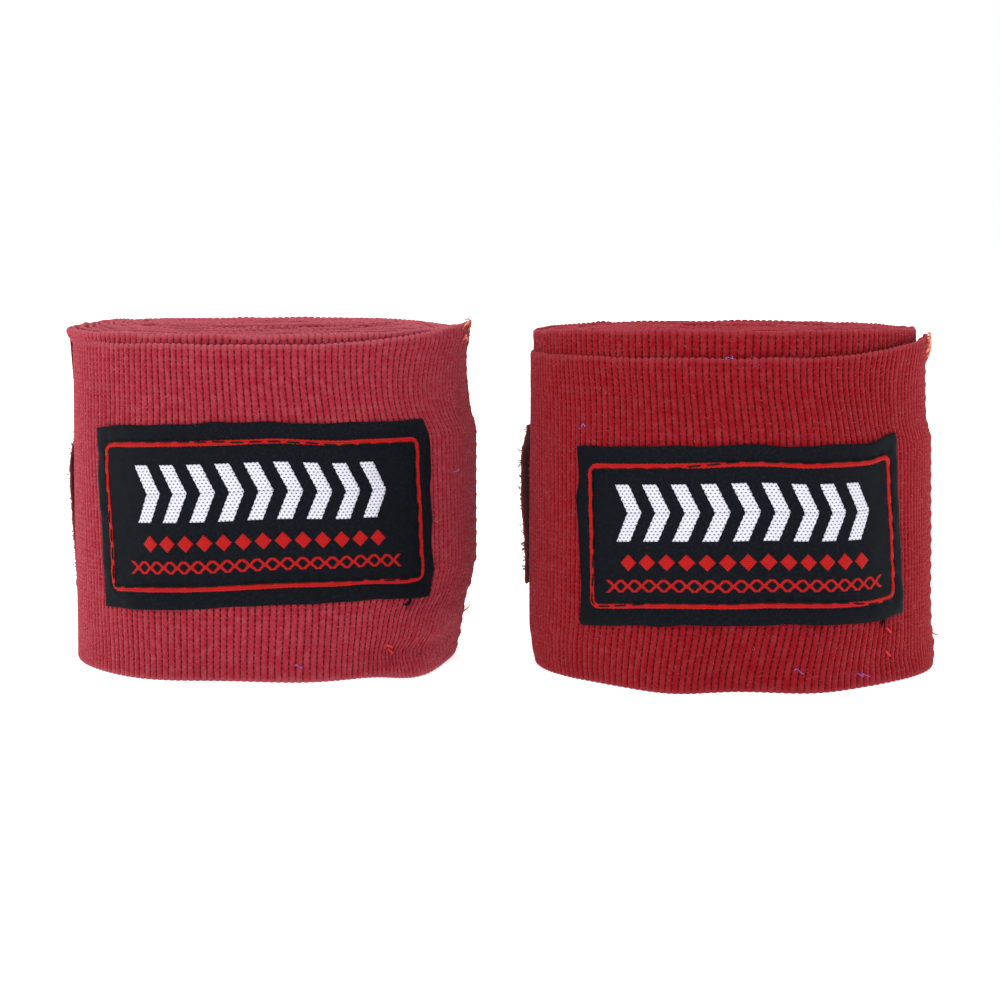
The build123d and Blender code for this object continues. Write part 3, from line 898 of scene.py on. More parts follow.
class Panel:
    """A tilted rectangle of the flap's front, with its own flat coordinates: u along it and v
    up it, from its middle."""

    def __init__(self, wrap, path, length, height):
        self.wrap = wrap
        self.path = path
        front = path.heading >= (2 * TURNS + 1) * math.pi
        ends = np.interp(
            [wrap.label_x - length / 2, wrap.label_x, wrap.label_x + length / 2],
            path.full[0][front], path.distance[front],
        )
        self.middle = ends[1]
        self.half_length = (ends[2] - ends[0]) / 2
        self.half_height = height / 2

    def place(self, u, v, offset):
        tilt_cos, tilt_sin = math.cos(LABEL_TILT), math.sin(LABEL_TILT)
        u, v = self.skewed(u, v)
        distance = self.middle + u * tilt_cos - v * tilt_sin
        z = self.wrap.label_z + u * tilt_sin + v * tilt_cos
        return self.wrap.on_strip(self.path, distance, z, offset)

    def skewed(self, u, v):
        """Flat coordinates with the edges moved out of square."""
        right = 0.5 + 0.5 * u / self.half_length
        above = 0.5 + 0.5 * v / self.half_height
        (low_left, high_left), (low_right, high_right) = self.wrap.label_sides
        low = low_left * (1 - right) + low_right * right
        high = high_left * (1 - right) + high_right * right
        moved_u = u + low * (1 - above) + high * above
        low = eased(right, self.wrap.label_low)
        return moved_u, v + low * (1 - above) + eased(right, self.wrap.label_top) * above

    def covers(self, distance, z):
        tilt_cos, tilt_sin = math.cos(LABEL_TILT), math.sin(LABEL_TILT)
        along, up = distance - self.middle, z - self.wrap.label_z
        u, v = along * tilt_cos + up * tilt_sin, up * tilt_cos - along * tilt_sin
        return (np.abs(u) < self.half_length) & (np.abs(v) < self.half_height)


LABEL_CELL = 0.32            # the label's grid
LABEL_FACE = FLAP_THICKNESS / 2 + 0.38
LABEL_THICKNESS = 0.36
BORDER_SIDE = 2.4            # the red line's distance from the label's short edges
BORDER_TOP = 2.8             # and from its long ones
SEAM_CORNER = 1.1
STITCH_PITCH = 2.7
PUCKER = 0.16                # how far the stitches pull the label in
MARGIN_RISE = 0.32           # how far its margin stands up
RAGGED_SIDE = 0.42           # how uneven its short edges are
RAGGED_TOP = 0.26            # and its long ones


class Label(Panel):
    """The woven label's surface, which puckers along its seam."""

    def edge_distance(self, u, v):
        return np.minimum(self.half_length - np.abs(u), self.half_height - np.abs(v))

    def relief(self, u, v):
        seed = self.wrap.seed + 90
        edge = self.edge_distance(u, v)
        at_seam = hill(edge, BORDER_SIDE, 0.55)     # 0.55 mm either side of the seam
        pull = 0.55 + 0.45 * np.cos(2 * np.pi * (u + v) / STITCH_PITCH)
        margin = 1 - smooth(0.3, BORDER_SIDE, edge)
        wavy = 0.5 + 0.5 * noise((u + v) / 3.1, (u - v) / 9, seed)
        swell = 0.16 * noise(u / 7, v / 5, seed + 1) + 0.05 * noise(u / 1.3, v / 1.5, seed + 2)
        return swell - PUCKER * at_seam * pull + margin * (MARGIN_RISE * wavy - 0.08)

    def face(self, u, v, lift=0.0):
        return self.place(u, v, LABEL_FACE + self.relief(u, v) + lift)

    def outline(self, p, q):
        """u and v from shares of the half length and half height: the cut edges are wavy."""
        seed = self.wrap.seed + 93
        side = np.sign(p) * 7.5
        u = p * (self.half_length + RAGGED_SIDE * noise(q * 3.6 + side, 0.5, seed))
        v = q * (self.half_height + RAGGED_TOP * noise(p * 7 + np.sign(q) * 9.5, 0.5, seed + 1))
        return u, v


def make_label(wrap, label):
    columns = int(2 * label.half_length / LABEL_CELL)
    rows = int(2 * label.half_height / LABEL_CELL)
    p = np.linspace(-1, 1, columns)[None, :]
    q = np.linspace(-1, 1, rows)[:, None]
    u, v = label.outline(p, q)
    near = 1 - smooth(0, 0.4, label.edge_distance(u, v))
    outside = label.face(u, v, -0.08 * near)
    inside = label.face(u, v, -LABEL_THICKNESS)
    uv = np.stack([u, v], axis=-1)
    piece = add_sheet(f"{wrap.name}_label", outside, inside, uv, near, SATIN, "label_satin")
    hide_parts(f"{wrap.name}_woven_label")
    return piece


def woven_figure(label, outline_u, outline_v, lift):
    """Points, quads and UVs of a raised patch of the label. outline_u and outline_v are grids
    of label coordinates."""
    rows, columns = outline_u.shape
    rim = np.zeros(outline_u.shape)
    rim[0], rim[-1], rim[:, 0], rim[:, -1] = 1, 1, 1, 1
    outside = label.face(outline_u, outline_v, lift - 0.6 * lift * rim)
    inside = label.face(outline_u, outline_v, -0.1)
    uv = np.stack([outline_u, outline_v], axis=-1)
    return both_sides(outside, inside, 3), shell_faces(rows, columns), both_sides(uv, uv, 2)


def joined(parts):
    """Several parts' points, quads and UVs as one."""
    starts = np.cumsum([0] + [len(part[0]) for part in parts[:-1]])
    faces = [part[1] + start for part, start in zip(parts, starts)]
    return np.vstack([p[0] for p in parts]), np.vstack(faces), np.vstack([p[2] for p in parts])


def slanted_bar(low, high, lean, width, middle, step):
    """A parallelogram's grid: it leans by that much from its low end to its high end."""
    rows = max(3, int(abs(high - low) / step))
    columns = max(3, int(width / step))
    share = np.linspace(0, 1, rows)[:, None]
    across = np.linspace(-0.5, 0.5, columns)[None, :]
    v = low + share * (high - low) + 0 * across
    scallop = 0.07 * np.sin(2 * np.pi * v / 0.85) * np.sign(across) * (np.abs(across) > 0.4)
    return middle + lean * share + width * across + scallop, v


CHEVRON_COUNT = 9
CHEVRON_PITCH = 4.3
CHEVRON_HEIGHT = 8.4
CHEVRON_WIDTH = 2.2
CHEVRON_LEAN = 1.9
DIAMOND_COUNT = 13
DIAMOND_PITCH = 2.9
DIAMOND_SIZE = 2.5
DIAMOND_CELLS = 7            # the points along each side of a diamond's grid
LATTICE_COUNT = 19
LATTICE_PITCH = 2.2
LATTICE_HEIGHT = 1.9
LATTICE_WIDTH = 0.62
ARROW_MIDDLE = 3.4           # the heights of the three rows, from the label's middle
DIAMOND_MIDDLE = -3.9
LATTICE_LOW = -8.3


def make_motif(wrap, label):
    """The label's woven figures: a row of white arrowheads, a row of small red diamonds and a
    red lattice."""
    chevrons, red = [], []
    for index in range(CHEVRON_COUNT):
        u = (index - (CHEVRON_COUNT - 1) / 2) * CHEVRON_PITCH - CHEVRON_LEAN / 2
        for end in (-1, 1):
            tip = ARROW_MIDDLE + end * CHEVRON_HEIGHT / 2
            grid = slanted_bar(tip, ARROW_MIDDLE, CHEVRON_LEAN, CHEVRON_WIDTH, u, 0.28)
            if end > 0:
                grid = (grid[0][::-1], grid[1][::-1])
            chevrons.append(woven_figure(label, *grid, 0.12))
    for index in range(DIAMOND_COUNT):
        u = (index - (DIAMOND_COUNT - 1) / 2) * DIAMOND_PITCH
        across, up = np.meshgrid(*[np.linspace(-1, 1, DIAMOND_CELLS)] * 2)
        turned_u = u + (across - up) * DIAMOND_SIZE / 4
        turned_v = DIAMOND_MIDDLE + (across + up) * DIAMOND_SIZE / 4
        red.append(woven_figure(label, turned_u, turned_v, 0.09))
    for index in range(LATTICE_COUNT):
        u = (index - LATTICE_COUNT / 2) * LATTICE_PITCH
        for start, lean in ((u, LATTICE_PITCH), (u + LATTICE_PITCH, -LATTICE_PITCH)):
            top = LATTICE_LOW + LATTICE_HEIGHT
            grid = slanted_bar(LATTICE_LOW, top, lean, LATTICE_WIDTH, start, 0.24)
            red.append(woven_figure(label, *grid, 0.07))
    pieces = []
    for name, figures, material in (("arrowheads", chevrons, WHITE), ("diamonds", red, RED)):
        points, faces, uv = joined(figures)
        pieces.append(
            add_object(f"{wrap.name}_label_{name}", points, faces, material, "label_satin", uv)
        )
    return pieces


def seam_line(label, step):
    """The rounded rectangle that the label's seam follows, as u, v and the outward normal."""
    half_u = label.half_length - BORDER_SIDE
    half_v = label.half_height - BORDER_TOP
    corners = [(1, 1, 0), (-1, 1, 90), (-1, -1, 180), (1, -1, 270)]
    line = []
    for sign_u, sign_v, start in corners:
        angle = np.radians(np.linspace(start, start + 90, 7))
        centre = np.array([[sign_u * (half_u - SEAM_CORNER)], [sign_v * (half_v - SEAM_CORNER)]])
        line.append(centre + SEAM_CORNER * np.stack([np.cos(angle), np.sin(angle)]))
    line = np.hstack(line + [line[0][:, :1]])
    distance = np.concatenate([[0], np.cumsum(np.hypot(*np.diff(line, axis=1)))])
    place = np.linspace(0, distance[-1], int(distance[-1] / step) + 1)
    u, v = np.interp(place, distance, line[0]), np.interp(place, distance, line[1])
    tangent = np.stack([np.gradient(u), np.gradient(v)])
    tangent /= np.hypot(*tangent)
    return u, v, tangent[1], -tangent[0], place


def make_border(wrap, label):
    """The red line woven round the label, raised a little."""
    u, v, normal_u, normal_v, place = (part[:-1] for part in seam_line(label, 0.3))
    width = 0.36 + 0.05 * np.sin(2 * np.pi * place / 0.75) + 0.05 * noise(place / 2, 0.5, 5)
    ring = [(-1.0, -0.1), (-1.0, 0.05), (-0.45, 0.11), (0.45, 0.11), (1.0, 0.05), (1.0, -0.1)]
    rows, rows_uv = [], []
    for across, lift in ring:
        at_u, at_v = u + normal_u * width * across, v + normal_v * width * across
        rows.append(label.face(at_u, at_v, lift))
        rows_uv.append(np.stack([at_u, at_v], axis=-1))
    points, uv = np.stack(rows), np.stack(rows_uv)
    points = np.concatenate([points, points[:, :1]], axis=1)
    uv = np.concatenate([uv, uv[:, :1]], axis=1)
    faces = grid_faces(len(ring), points.shape[1], wrap_rows=True)[:, ::-1]
    return add_object(
        f"{wrap.name}_label_border", points.reshape(-1, 3), faces, RED, "label_satin",
        uv.reshape(-1, 2),
    )


def make_label_seam(wrap, label):
    """Black lockstitches, drifting a little to either side of the red line."""
    u, v, normal_u, normal_v, place = seam_line(label, 0.1)
    total = place[-1]
    count = int(total / STITCH_PITCH)
    share = np.linspace(0, 1, 9)
    lines = []
    for index in range(count):
        at = stitch_share(index, 0.08, share) * total / count
        drift = 0.5 * np.tanh(6 * noise(at / 23, 0.5, wrap.seed + 95)) + 0.04 * np.sin(index * 2.4)
        at_u = np.interp(at, place, u) + drift * np.interp(at, place, normal_u)
        at_v = np.interp(at, place, v) + drift * np.interp(at, place, normal_v)
        lines.append(label.face(at_u, at_v, -0.15 + 0.34 * np.sin(np.pi * share) ** 0.4))
    piece = threads(
        f"{wrap.name}_label_thread", np.array(lines), 0.13, BLACK_THREAD, "black_thread"
    )
    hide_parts(f"{wrap.name}_label_seam")
    return piece


HOOK_PATCH_SIZE = (33.0, 25.0)
HOOK_CELLS = (90, 64)        # the ground's grid
HOOK_GROUND = 0.3            # its thickness
HOOK_SPACING = (1.15, 1.25)
HOOK_RADIUS = 0.065
HOOK_LINE = [(0, 0), (0, 0.3), (0.06, 0.45), (0.2, 0.5), (0.32, 0.42), (0.34, 0.3)]


def make_hook_patch(wrap, path):
    """Hook tape on the flap's inside: a woven ground with rows of small nylon hooks."""
    panel = Panel(wrap, path, *HOOK_PATCH_SIZE)
    halves = (panel.half_length, panel.half_height)
    u, v = np.meshgrid(*(np.linspace(-half, half, n) for half, n in zip(halves, HOOK_CELLS)))
    grain = 0.03 * np.sin(2 * np.pi * v / 0.8) + 0.03 * noise(u / 0.7, v / 0.7, wrap.seed + 97)
    back = -FLAP_THICKNESS / 2 + 0.04
    outside, inside = panel.place(u, v, back), panel.place(u, v, back - HOOK_GROUND + grain)
    uv = np.stack([u, v], axis=-1)
    ground = add_sheet(f"{wrap.name}_hook_ground", outside, inside, uv, None, HOOKS, "hook_tape")
    grids = np.meshgrid(
        *(np.arange(-half + 1, half - 1, step) for half, step in zip(halves, HOOK_SPACING))
    )
    random = np.random.default_rng(wrap.seed + 98)
    grid_u, grid_v = (
        (grid + random.uniform(-0.15, 0.15, grid.shape)).ravel()[:, None] for grid in grids
    )
    hook = np.array(HOOK_LINE)
    hand = random.choice([-1, 1], grid_u.shape)
    depth = back - HOOK_GROUND + 0.02 - hook[:, 1]
    lines = panel.place(grid_u + hand * hook[:, 0], grid_v + 0 * hook[:, 0], depth)
    points, faces = tube_mesh(lines, np.full(lines.shape[:2], HOOK_RADIUS), 4)
    nylon = add_object(f"{wrap.name}_hooks", points, faces, HOOKS, "hook_tape")
    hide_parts(f"{wrap.name}_hook_patch")
    return [ground, nylon]


LOOP_CELL = 0.55             # the ground's grid
LOOP_GROUND_TOP = PACKED_THICKNESS / 2 + 0.34
LOOP_DENSITY = 1.9           # loops in a square millimetre
LOOP_RADIUS = 0.06
LOOP_PEEL = 1.1              # how far the visible end comes away from the cloth
LOOP_SEAM_INSET = 2.3


def loop_patch_path(wrap):
    oval = Oval(CORE_HALF_LENGTH, CORE_HALF_DEPTH, CORE_END_RADIUS)
    side = oval.side_radius + wrap.growth - wrap.pitch / 2
    start = (2 * TURNS - 1) * math.pi + math.acos((wrap.pitch / 2 - LOOP_START_X) / side)
    end = (2 * TURNS + 1) * math.pi - math.asin(LOOP_END_Y / (CORE_END_RADIUS + wrap.growth))
    return spiral_path(wrap, start, end)


def peeling(wrap, path, distance, z):
    """How far the loop patch's visible end has come away from the cloth."""
    at_end = smooth(path.length - 5, path.length, distance)
    middle = smooth(wrap.patch_low + 3, wrap.patch_high - 7, z)
    below_top = 1 - 0.8 * smooth(-5, 0, z - wrap.patch_high)
    return LOOP_PEEL * at_end * (0.3 + 0.7 * middle) * below_top


def make_loop_patch(wrap):
    """Loop tape: a thin ground with a velvety pile of small loops."""
    path = loop_patch_path(wrap)
    tall_by = wrap.patch_high - wrap.patch_low
    column, height = np.meshgrid(
        np.linspace(0, path.length, int(path.length / LOOP_CELL)),
        np.linspace(wrap.patch_low, wrap.patch_high, int(tall_by / LOOP_CELL)),
    )
    rough = 0.12 * noise(column / 0.8, height / 0.8, wrap.seed + 100)
    peel = peeling(wrap, path, column, height)
    outside = wrap.on_strip(path, column, height, LOOP_GROUND_TOP + rough + peel)
    inside = wrap.on_strip(path, column, height, PACKED_THICKNESS / 2 - 0.05 + peel)
    uv = np.stack([column / RIB_PITCH, height], axis=-1)
    ground = add_sheet(f"{wrap.name}_loop_ground", outside, inside, uv, None, PILE, "loop_pile")
    random = np.random.default_rng(wrap.seed + 101)
    count = int(LOOP_DENSITY * path.length * tall_by)
    distance = random.uniform(0.2, path.length - 0.2, count)[:, None]
    z = random.uniform(wrap.patch_low + 0.2, wrap.patch_high - 0.2, count)[:, None]
    turn = random.uniform(0, 2 * np.pi, (count, 1))
    reach = random.uniform(0.25, 0.6, (count, 1))
    share = np.linspace(0, 1, 5)[None, :]
    swing = (share - 0.4) * reach
    along, up = distance + swing * np.cos(turn), z + swing * np.sin(turn)
    tall = random.uniform(0.25, 0.62, (count, 1))
    tall = tall * (1.5 - 0.5 * smooth(0, 5, path.length - distance))
    lift = LOOP_GROUND_TOP - 0.15 + tall * np.sin(np.pi * share * 0.85)
    lines = wrap.on_strip(path, along, up, lift + peeling(wrap, path, along, up))
    points, faces = tube_mesh(lines, np.full(lines.shape[:2], LOOP_RADIUS), 3)
    pile = add_object(f"{wrap.name}_loop_pile", points, faces, PILE, "loop_pile")
    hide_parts(f"{wrap.name}_loop_patch")
    return [ground, pile]


def make_loop_seam(wrap):
    """The loop patch's stitches: along its two long edges at the back, and down its end."""
    path = spiral_path(wrap, 2 * TURNS * math.pi, (2 * TURNS + 1) * math.pi)
    end = path.length - LOOP_END_Y - LOOP_SEAM_INSET
    low, high = wrap.patch_low + LOOP_SEAM_INSET, wrap.patch_high - LOOP_SEAM_INSET
    share = np.linspace(0, 1, 7)
    lift = PACKED_THICKNESS / 2 + 0.2 + 0.62 * np.sin(np.pi * share) ** 0.4
    runs = []
    for index in range(int(end / STITCH_PITCH)):
        along = stitch_share(index, 0.1, share) * STITCH_PITCH
        for z in (low, high):
            runs.append((along, z + 0.12 * noise(along / 9, z, wrap.seed + 102)))
    for index in range(int((high - low) / STITCH_PITCH)):
        runs.append((end + 0 * share, low + stitch_share(index, 0.1, share) * STITCH_PITCH))
    lines = [wrap.on_strip(path, along, z, lift) for along, z in runs]
    piece = threads(f"{wrap.name}_loop_thread", np.array(lines), 0.16, RED_THREAD, "red_thread")
    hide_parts(f"{wrap.name}_loop_patch_seam")
    return piece


OVERLOCK_PITCH = 2.0
OVERLOCK_DEPTH = 2.6
OVERLOCK_RADIUS = 0.1


def make_overlock(wrap, path):
    """The overlocked end: looper threads cross from face to face over the strip's raw edge,
    and a line of needle stitches holds them."""
    random = np.random.default_rng(wrap.seed + 110)
    low, high = (float(edge[0]) for edge in strip_edges(wrap, path, np.array([path.length])))
    count = int((high - low - 0.6) / (OVERLOCK_PITCH / 2))
    share = np.linspace(0, 1, 15)
    lines = []
    for index in range(count):
        base = low + 0.3 + index * OVERLOCK_PITCH / 2
        hand = 1 if index % 2 else -1
        reach = OVERLOCK_DEPTH + 0.35 + random.uniform(-0.15, 0.45)
        distance = path.length - OVERLOCK_DEPTH + reach * np.sin(np.pi * share) ** 0.8
        slope = hand * OVERLOCK_PITCH * 0.5 * (share - 0.5)
        z = base + 0.5 + slope + 0.12 * random.normal(size=1) * np.sin(np.pi * share)
        offset = (FLAP_THICKNESS / 2 + 0.08) * np.cos(np.pi * share)
        lines.append(wrap.on_strip(path, distance, z, offset))
    loopers = threads(
        f"{wrap.name}_overlock_loops", np.array(lines), OVERLOCK_RADIUS, OVERLOCK,
        "overlock_thread", ends=0.8,
    )
    needle = []
    for index in range(int((high - low) / OVERLOCK_PITCH)):
        z = low + 0.4 + stitch_share(index, 0.15, share) * OVERLOCK_PITCH
        distance = path.length - OVERLOCK_DEPTH + 0 * share
        offset = FLAP_THICKNESS / 2 - 0.1 + 0.22 * np.sin(np.pi * share) ** 0.5
        needle.append(wrap.on_strip(path, distance, z, offset))
    stitches = threads(
        f"{wrap.name}_overlock_needle", np.array(needle), OVERLOCK_RADIUS, RED_THREAD,
        "overlock_thread",
    )
    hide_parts(f"{wrap.name}_end_overlock")
    return [loopers, stitches]


def stray(start, aim, length, curl, seed):
    """A loose thread's line: it sets off along its aim and curls."""
    share = np.linspace(0, 1, STRAY_POINTS)[:, None]
    aim = np.array(aim, float) / np.linalg.norm(aim)
    side = np.cross(aim, (0.3, 0.9, 0.2))
    other = np.cross(aim, side)
    turn = 2 * np.pi * (0.7 * share + noise(seed, 0.5, 7))
    swing = curl * share * (side * np.sin(turn) + other * (1 - np.cos(turn)))
    return np.array(start) + share * length * aim + swing


def make_strays(wrap, path, label):
    """Thread ends at the flap's slack end and the label's corner, and a little lint."""
    end = path.length
    lift = FLAP_THICKNESS / 2
    tails = []
    for index, (z, aim, length, curl) in enumerate(wrap.tails):
        start = wrap.on_strip(path, np.array([end + 0.4]), np.array([z]), np.array([0.1]))[0]
        tails.append(stray(start, aim, length, curl, wrap.seed + index))
    random = np.random.default_rng(wrap.seed + 200)
    share = np.linspace(0, 1, STRAY_POINTS - 1)
    top = strip_edges(wrap, path, np.array([end - 2.0]))[1][0]
    for _ in range(wrap.corner_loops):
        middle, height = end - random.uniform(0.5, 7.5), top - random.uniform(0.2, 3.0)
        size, turn = random.uniform(0.6, 1.2), random.uniform(-0.9, 0.9)
        across = size * 1.5 * np.cos(np.pi * (1 - share))
        up = size * 0.7 * np.sin(np.pi * share)
        away = lift + 0.06 + 0.35 * np.sin(np.pi * share) * size
        loop = wrap.on_strip(
            path, middle + across * np.cos(turn) - up * np.sin(turn),
            height + across * np.sin(turn) + up * np.cos(turn), away,
        )
        tails.append(np.vstack([loop, loop[-1:]]))      # as many points as a tail has
    kinds = [("tails", tails, 0.13, OVERLOCK, "overlock_thread", 0.8)]
    corner = label.place(
        np.array([label.half_length - 4.0]), np.array([-label.half_height + 0.3]), LABEL_FACE
    )[0]
    tail = [
        stray(corner, aim, 1.7, 0.4, wrap.seed + 5) for aim in ((-0.5, -0.3, -1), (-0.9, -0.2, -1))
    ]
    kinds.append(("label_tail", tail, 0.15, BLACK_THREAD, "black_thread", 0.8))
    bits, lint = [], []
    for index, (x, z, aim) in enumerate(wrap.bits):
        at = path.at_front(np.array([x]))
        start = wrap.on_strip(path, at, np.array([z]), np.array([lift + 0.08]))[0]
        bits.append(stray(start, aim, 1.1, 0.1, wrap.seed + 20 + index))
    for index, (x, z, aim) in enumerate(wrap.lint):
        at = path.at_front(np.array([x]))
        start = wrap.on_strip(path, at, np.array([z]), np.array([lift + 0.15]))[0]
        lint.append(stray(start, aim, 0.9, 0.9, wrap.seed + 30 + index))
    kinds.append(("bits", bits, 0.2, RED_THREAD, "red_thread", 0.35))
    kinds.append(("lint", lint, 0.05, LINT, "red_thread", 0.8))
    return [
        threads(f"{wrap.name}_{name}", np.array(lines), radius, material, slot, ends)
        for name, lines, radius, material, slot, ends in kinds
    ]


# ---------------------------------------------------------------- the thumb loop in the core

THUMB_TAPE_THICKNESS = 0.6
THUMB_TAPE_GAP = 0.1
THUMB_RUN = 9.0
THUMB_FOLD_RADIUS = 0.85
THUMB_HEIGHT = 20.0
THUMB_SHIFT = 0.4
THUMB_RIB = 1.2
BARTACK_X = 3.0
BARTACK_COUNT = 7
BARTACK_LENGTH = 1.6
BARTACK_SPACING = 0.7


def thumb_path():
    """The folded tape's centreline: there and back on both legs of the fold."""
    middle = THUMB_TAPE_GAP + THUMB_TAPE_THICKNESS / 2
    left, right = -THUMB_RUN / 2, THUMB_RUN / 2
    radius = THUMB_FOLD_RADIUS
    arcs = [
        ((left, 0.0), radius + middle, 90, 270),
        ((right, -radius), middle, -90, 90),
        ((left, 0.0), radius - middle, 270, 90),
        ((right, radius), middle, -90, 90),
    ]
    bends = []
    for (x, y), size, first, last in arcs:
        angle = np.radians(np.linspace(first, last, 25))
        bends.append(np.stack([x + size * np.cos(angle), y + size * np.sin(angle)]))
    run = np.linspace(0, 1, 30)[1:-1]
    line = []
    for bend, following in zip(bends, bends[1:] + bends[:1]):
        line += [bend, bend[:, -1:] + run * (following[:, :1] - bend[:, -1:])]
    points = np.hstack(line)
    tangent = np.gradient(points, axis=1)
    heading = np.unwrap(np.arctan2(-tangent[0], tangent[1]))
    points[0] += THUMB_SHIFT
    return Path(points, points, heading)


def make_thumb_loop(wrap):
    """The thumb loop's tape, pressed flat and folded double, and the bartack that holds it."""
    path = thumb_path()
    columns, rows = int(path.length / 0.2), 34
    column = np.linspace(0, path.length, columns)[None, :]
    share = np.linspace(0, 1, rows)[:, None]
    base = wrap.raised + (wrap.width - THUMB_HEIGHT) / 2
    z = base + THUMB_HEIGHT * share + 0 * column
    x, y, normal_x, normal_y = path.read(column)
    rib = 0.06 * np.cos(2 * np.pi * z / THUMB_RIB)
    edge = np.clip(np.minimum(share, 1 - share) * THUMB_HEIGHT / 0.4, 0, 1)
    half = (0.24 + rib) * np.sqrt(np.clip(1 - (1 - edge) ** 2, 0.08, 1))
    both = [
        wrap.place(x + normal_x * lift, y + normal_y * lift, z) for lift in (half, -half)
    ]
    uv = np.stack([z / THUMB_RIB, column + 0 * z], axis=-1)
    piece = add_sheet(
        f"{wrap.name}_thumb_tape", *both, uv, 1 - edge + 0 * z, CLOTH[wrap.name], wrap.strip_slot
    )
    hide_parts(f"{wrap.name}_thumb_loop")
    outer_face = THUMB_FOLD_RADIUS + THUMB_TAPE_GAP + THUMB_TAPE_THICKNESS
    middle = wrap.raised + wrap.width / 2
    share = np.linspace(0, 1, 9)
    lines = []
    for index in range(2 * BARTACK_COUNT - 1):
        z = middle + (index / 2 - (BARTACK_COUNT - 1) / 2) * BARTACK_SPACING
        hand = 1 if index % 2 else -1
        lines.append(
            wrap.place(
                BARTACK_X + hand * (share - 0.5) * BARTACK_LENGTH,
                outer_face - 0.05 + 0.14 * np.sin(np.pi * share) ** 0.5,
                z + (share - 0.5) * BARTACK_SPACING / 2,
            )
        )
    tack = threads(f"{wrap.name}_bartack_thread", np.array(lines), 0.1, RED_THREAD, "red_thread")
    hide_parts(f"{wrap.name}_thumb_loop_bartack")
    return [piece, tack]


# ---------------------------------------------------------------- everything together

def make_wrap(wrap):
    strip = make_strip(wrap)
    flap, path = strip["flap_cloth"]
    label = Label(wrap, path, wrap.label_length, wrap.label_height)
    on_flap = [make_label(wrap, label)]
    on_flap += make_motif(wrap, label)
    on_flap += [make_border(wrap, label), make_label_seam(wrap, label)]
    on_flap += make_hook_patch(wrap, path)
    on_flap += make_overlock(wrap, path)
    on_flap += make_strays(wrap, path, label)
    for piece in on_flap:
        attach(piece, wrap.flap)
    on_roll = make_loop_patch(wrap) + [make_loop_seam(wrap)] + make_thumb_loop(wrap)
    top = wrap.width + wrap.raised
    under = strip["turn_under_flap"][1]
    on_roll.append(
        face_fuzz(wrap, "fuzz_above_flap", under, 2.5, wrap.width - 2, top, wrap.seed + 120)
    )
    back = strip["back_turn"][1]
    on_roll.append(face_fuzz(wrap, "fuzz_back", back, 1.0, 1.0, wrap.width, wrap.seed + 130))
    for index, (name, (piece, run)) in enumerate(strip.items()):
        if name != "flap_cloth":
            on_roll.append(
                edge_fuzz(wrap, f"fuzz_{name}", run, 2.2, wrap.seed + 140 + 2 * index)
            )
    for piece in on_roll:
        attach(piece, wrap.roll)
    faces = face_fuzz(
        wrap, "fuzz_flap", path, 1.5, 0.6, wrap.width, wrap.seed + 160, label.covers
    )
    with_flap(wrap, faces, edge_fuzz(wrap, "fuzz_flap_edges", path, 4.0, wrap.seed + 170))


make_wrap(
    Wrap(
        "left", 1000, lip=1.7, front_drop=1.2, end_drops=(-0.2, 1.1), flap_rise=0.45, end_gap=0.5,
        right_pull=[
            (0, 3.0), (4, 2.4), (9, 2.3), (13, 1.3), (16, 0.7), (36, 0.7), (39.5, 1.3),
            (48, 1.4), (51, 0.9),
        ],
        left_pull=[(0, 0.2), (50, 0.0)],
        flares=[(-17, 9, 2.6), (8, 10, 2.4), (27, 6, 8.0)],
        dent=2.0,
        label_top=[(0, 0.6), (0.1, 0.9), (0.52, 0.9), (0.76, -0.1), (1, -0.4)],
        label_low=[(0, 0.1), (0.25, 0.1), (0.52, 0.4), (0.76, 0.1), (0.92, -0.65), (1, -0.7)],
        label_sides=[(0.3, -0.3), (0.7, 0.0)],
        lean=[(0, 0.6), (12, 0.5), (25, 0.0), (38, -0.5), (50, -1.0)],
        slack_lean=[(0, -1.0), (7, -0.8), (13, 0.9), (36, 0.3), (42, -1.3), (51, 0.6)],
        corner_loops=6,
        tails=[
            (6, (1.0, -0.6, 1.6), 2.4, 0.3), (3.5, (0.4, -1.0, -0.4), 1.2, 0.5),
            (50.5, (-0.8, -1.0, 0.5), 1.6, 0.9), (51, (0.3, -1.0, -0.6), 1.6, 0.8),
        ],
        bits=[(21.5, 5.0, (1.0, 0.0, -0.5)), (22.2, 4.4, (0.6, 0.0, -0.8))],
        lint=[(6.4, 2.6, (1.0, 0.0, 0.6)), (29.5, 30.0, (0.3, 0.0, 1.0))],
    )
)
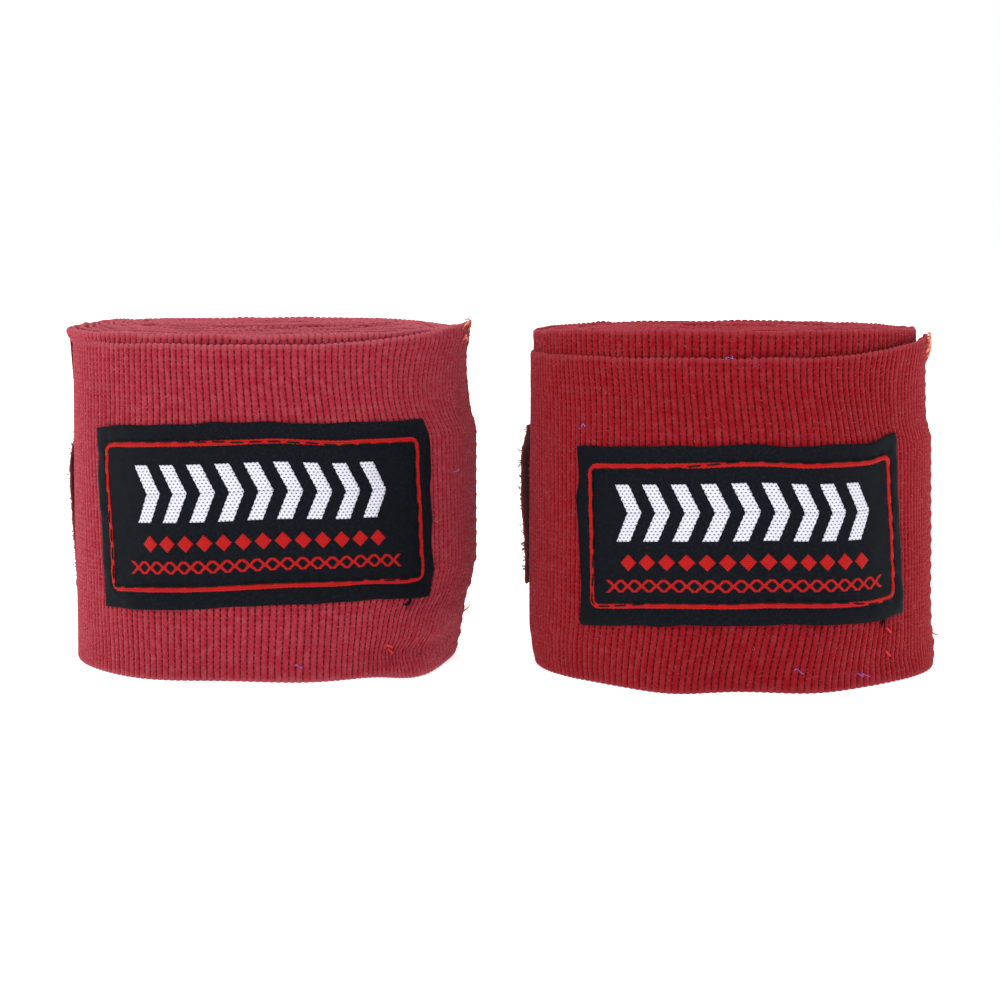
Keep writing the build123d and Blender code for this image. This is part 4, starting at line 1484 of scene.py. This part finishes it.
make_wrap(
    Wrap(
        "right", 3000, lip=0.3, front_drop=0.0, end_drops=(0.6, 0.3), flap_rise=-0.25, end_gap=1.3,
        right_pull=[
            (0, 0.1), (3, 0.1), (7, 0.6), (12, 0.8), (35, 1.2), (39, 2.0), (46, 2.0), (50, 1.6)
        ],
        left_pull=[(0, 1.3), (3, 0.8), (6, 0.45), (50, 0.35)],
        flares=[(-10.5, 8, 5.0), (11, 9, 4.4)],
        dent=0.6,
        label_top=[(0, 0.3), (0.5, 0.2), (0.72, -0.6), (0.87, -0.8), (1, 0.2)],
        label_low=[(0, 0.0), (0.25, 0.4), (0.5, 0.0), (0.86, -0.9), (1, -0.5)],
        label_sides=[(0.0, 0.25), (0.8, 0.4)],
        lean=[(0, -1.2), (11, 0.2), (25, 0.3), (37, 0.2), (49, -0.7)],
        slack_lean=[(0, 0.5), (11, -0.3), (30, 0.0), (41, -0.5), (50, 0.4)],
        corner_loops=16,
        tails=[
            (4.5, (1.0, -1.0, 0.3), 1.9, 0.5), (3.5, (0.6, -1.0, -0.3), 1.6, 0.7),
            (49, (-0.5, -1.0, 0.5), 2.0, 1.4), (50, (0.4, -1.0, 0.2), 2.2, 1.5),
            (48, (0.5, -1.0, -0.6), 2.0, 1.2), (50.5, (-1.0, -1.0, 0.2), 1.8, 1.2),
        ],
        bits=[(22.5, 8.6, (1.0, 0.0, -0.9)), (22.8, 5.0, (0.8, 0.0, -1.0))],
        lint=[
            (-2.4, 48.6, (1.0, 0.0, 1.0)), (-23.4, 38.0, (1.0, 0.0, 0.3)),
            (8.0, 3.4, (1.0, 0.0, 0.5)), (18.6, 1.8, (1.0, 0.0, 1.0)), (17.8, 2.2, (1.0, 0.0, 0.6)),
        ],
    )
)


# ---------------------------------------------------------------- floor, light and camera

FLOOR_HALF_SIZE = 40.0       # metres
CAMERA_LENS = 91.15
CAMERA_PLACE = (0.00012, -0.3966, 0.065)
CAMERA_DIP = 5.75            # degrees below level


def stage():
    mesh = bpy.data.meshes.new("studio_floor")
    half = FLOOR_HALF_SIZE
    corners = [(-half, -half, 0), (half, -half, 0), (half, half, 0), (-half, half, 0)]
    mesh.from_pydata(corners, [], [(0, 1, 2, 3)])
    mesh.materials.append(floor_material())
    floor = bpy.data.objects.new("studio_floor", mesh)
    bpy.context.scene.collection.objects.link(floor)
    floor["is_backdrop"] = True


def soft_light(name, place, aim, size, power):
    light = bpy.data.lights.new(name, "AREA")
    light.shape = "SQUARE"
    light.size = size
    light.energy = power
    lamp = bpy.data.objects.new(name, light)
    lamp.location = place
    direction = Vector(aim) - Vector(place)
    lamp.rotation_euler = direction.to_track_quat("-Z", "Y").to_euler()
    bpy.context.scene.collection.objects.link(lamp)


def studio():
    world = bpy.data.worlds.new("studio")
    world.use_nodes = True
    background = world.node_tree.nodes["Background"]
    background.inputs["Color"].default_value = tone(1.0, 1.0, 1.0)
    background.inputs["Strength"].default_value = 1.0
    bpy.context.scene.world = world
    soft_light("overhead", (0.0, 0.1, 0.9), (0, 0, 0.02), 0.8, 5.0)
    soft_light("left_front", (-0.8, -0.5, 0.4), (0, 0, 0.03), 0.4, 1.0)


def add_camera():
    data = bpy.data.cameras.new("camera")
    data.lens = CAMERA_LENS
    data.sensor_width = 36.0
    data.clip_start = 0.01
    camera = bpy.data.objects.new("camera", data)
    camera.location = CAMERA_PLACE
    camera.rotation_euler = (math.radians(90 - CAMERA_DIP), 0.0, 0.0)
    bpy.context.scene.collection.objects.link(camera)
    bpy.context.scene.camera = camera
    bpy.context.scene.view_settings.view_transform = "Standard"


stage()
studio()
add_camera()

final_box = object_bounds()
boxes = {"cad": cad_box, "visual": final_box}
sizes = {name: [list(corner) for corner in box] for name, box in boxes.items()}
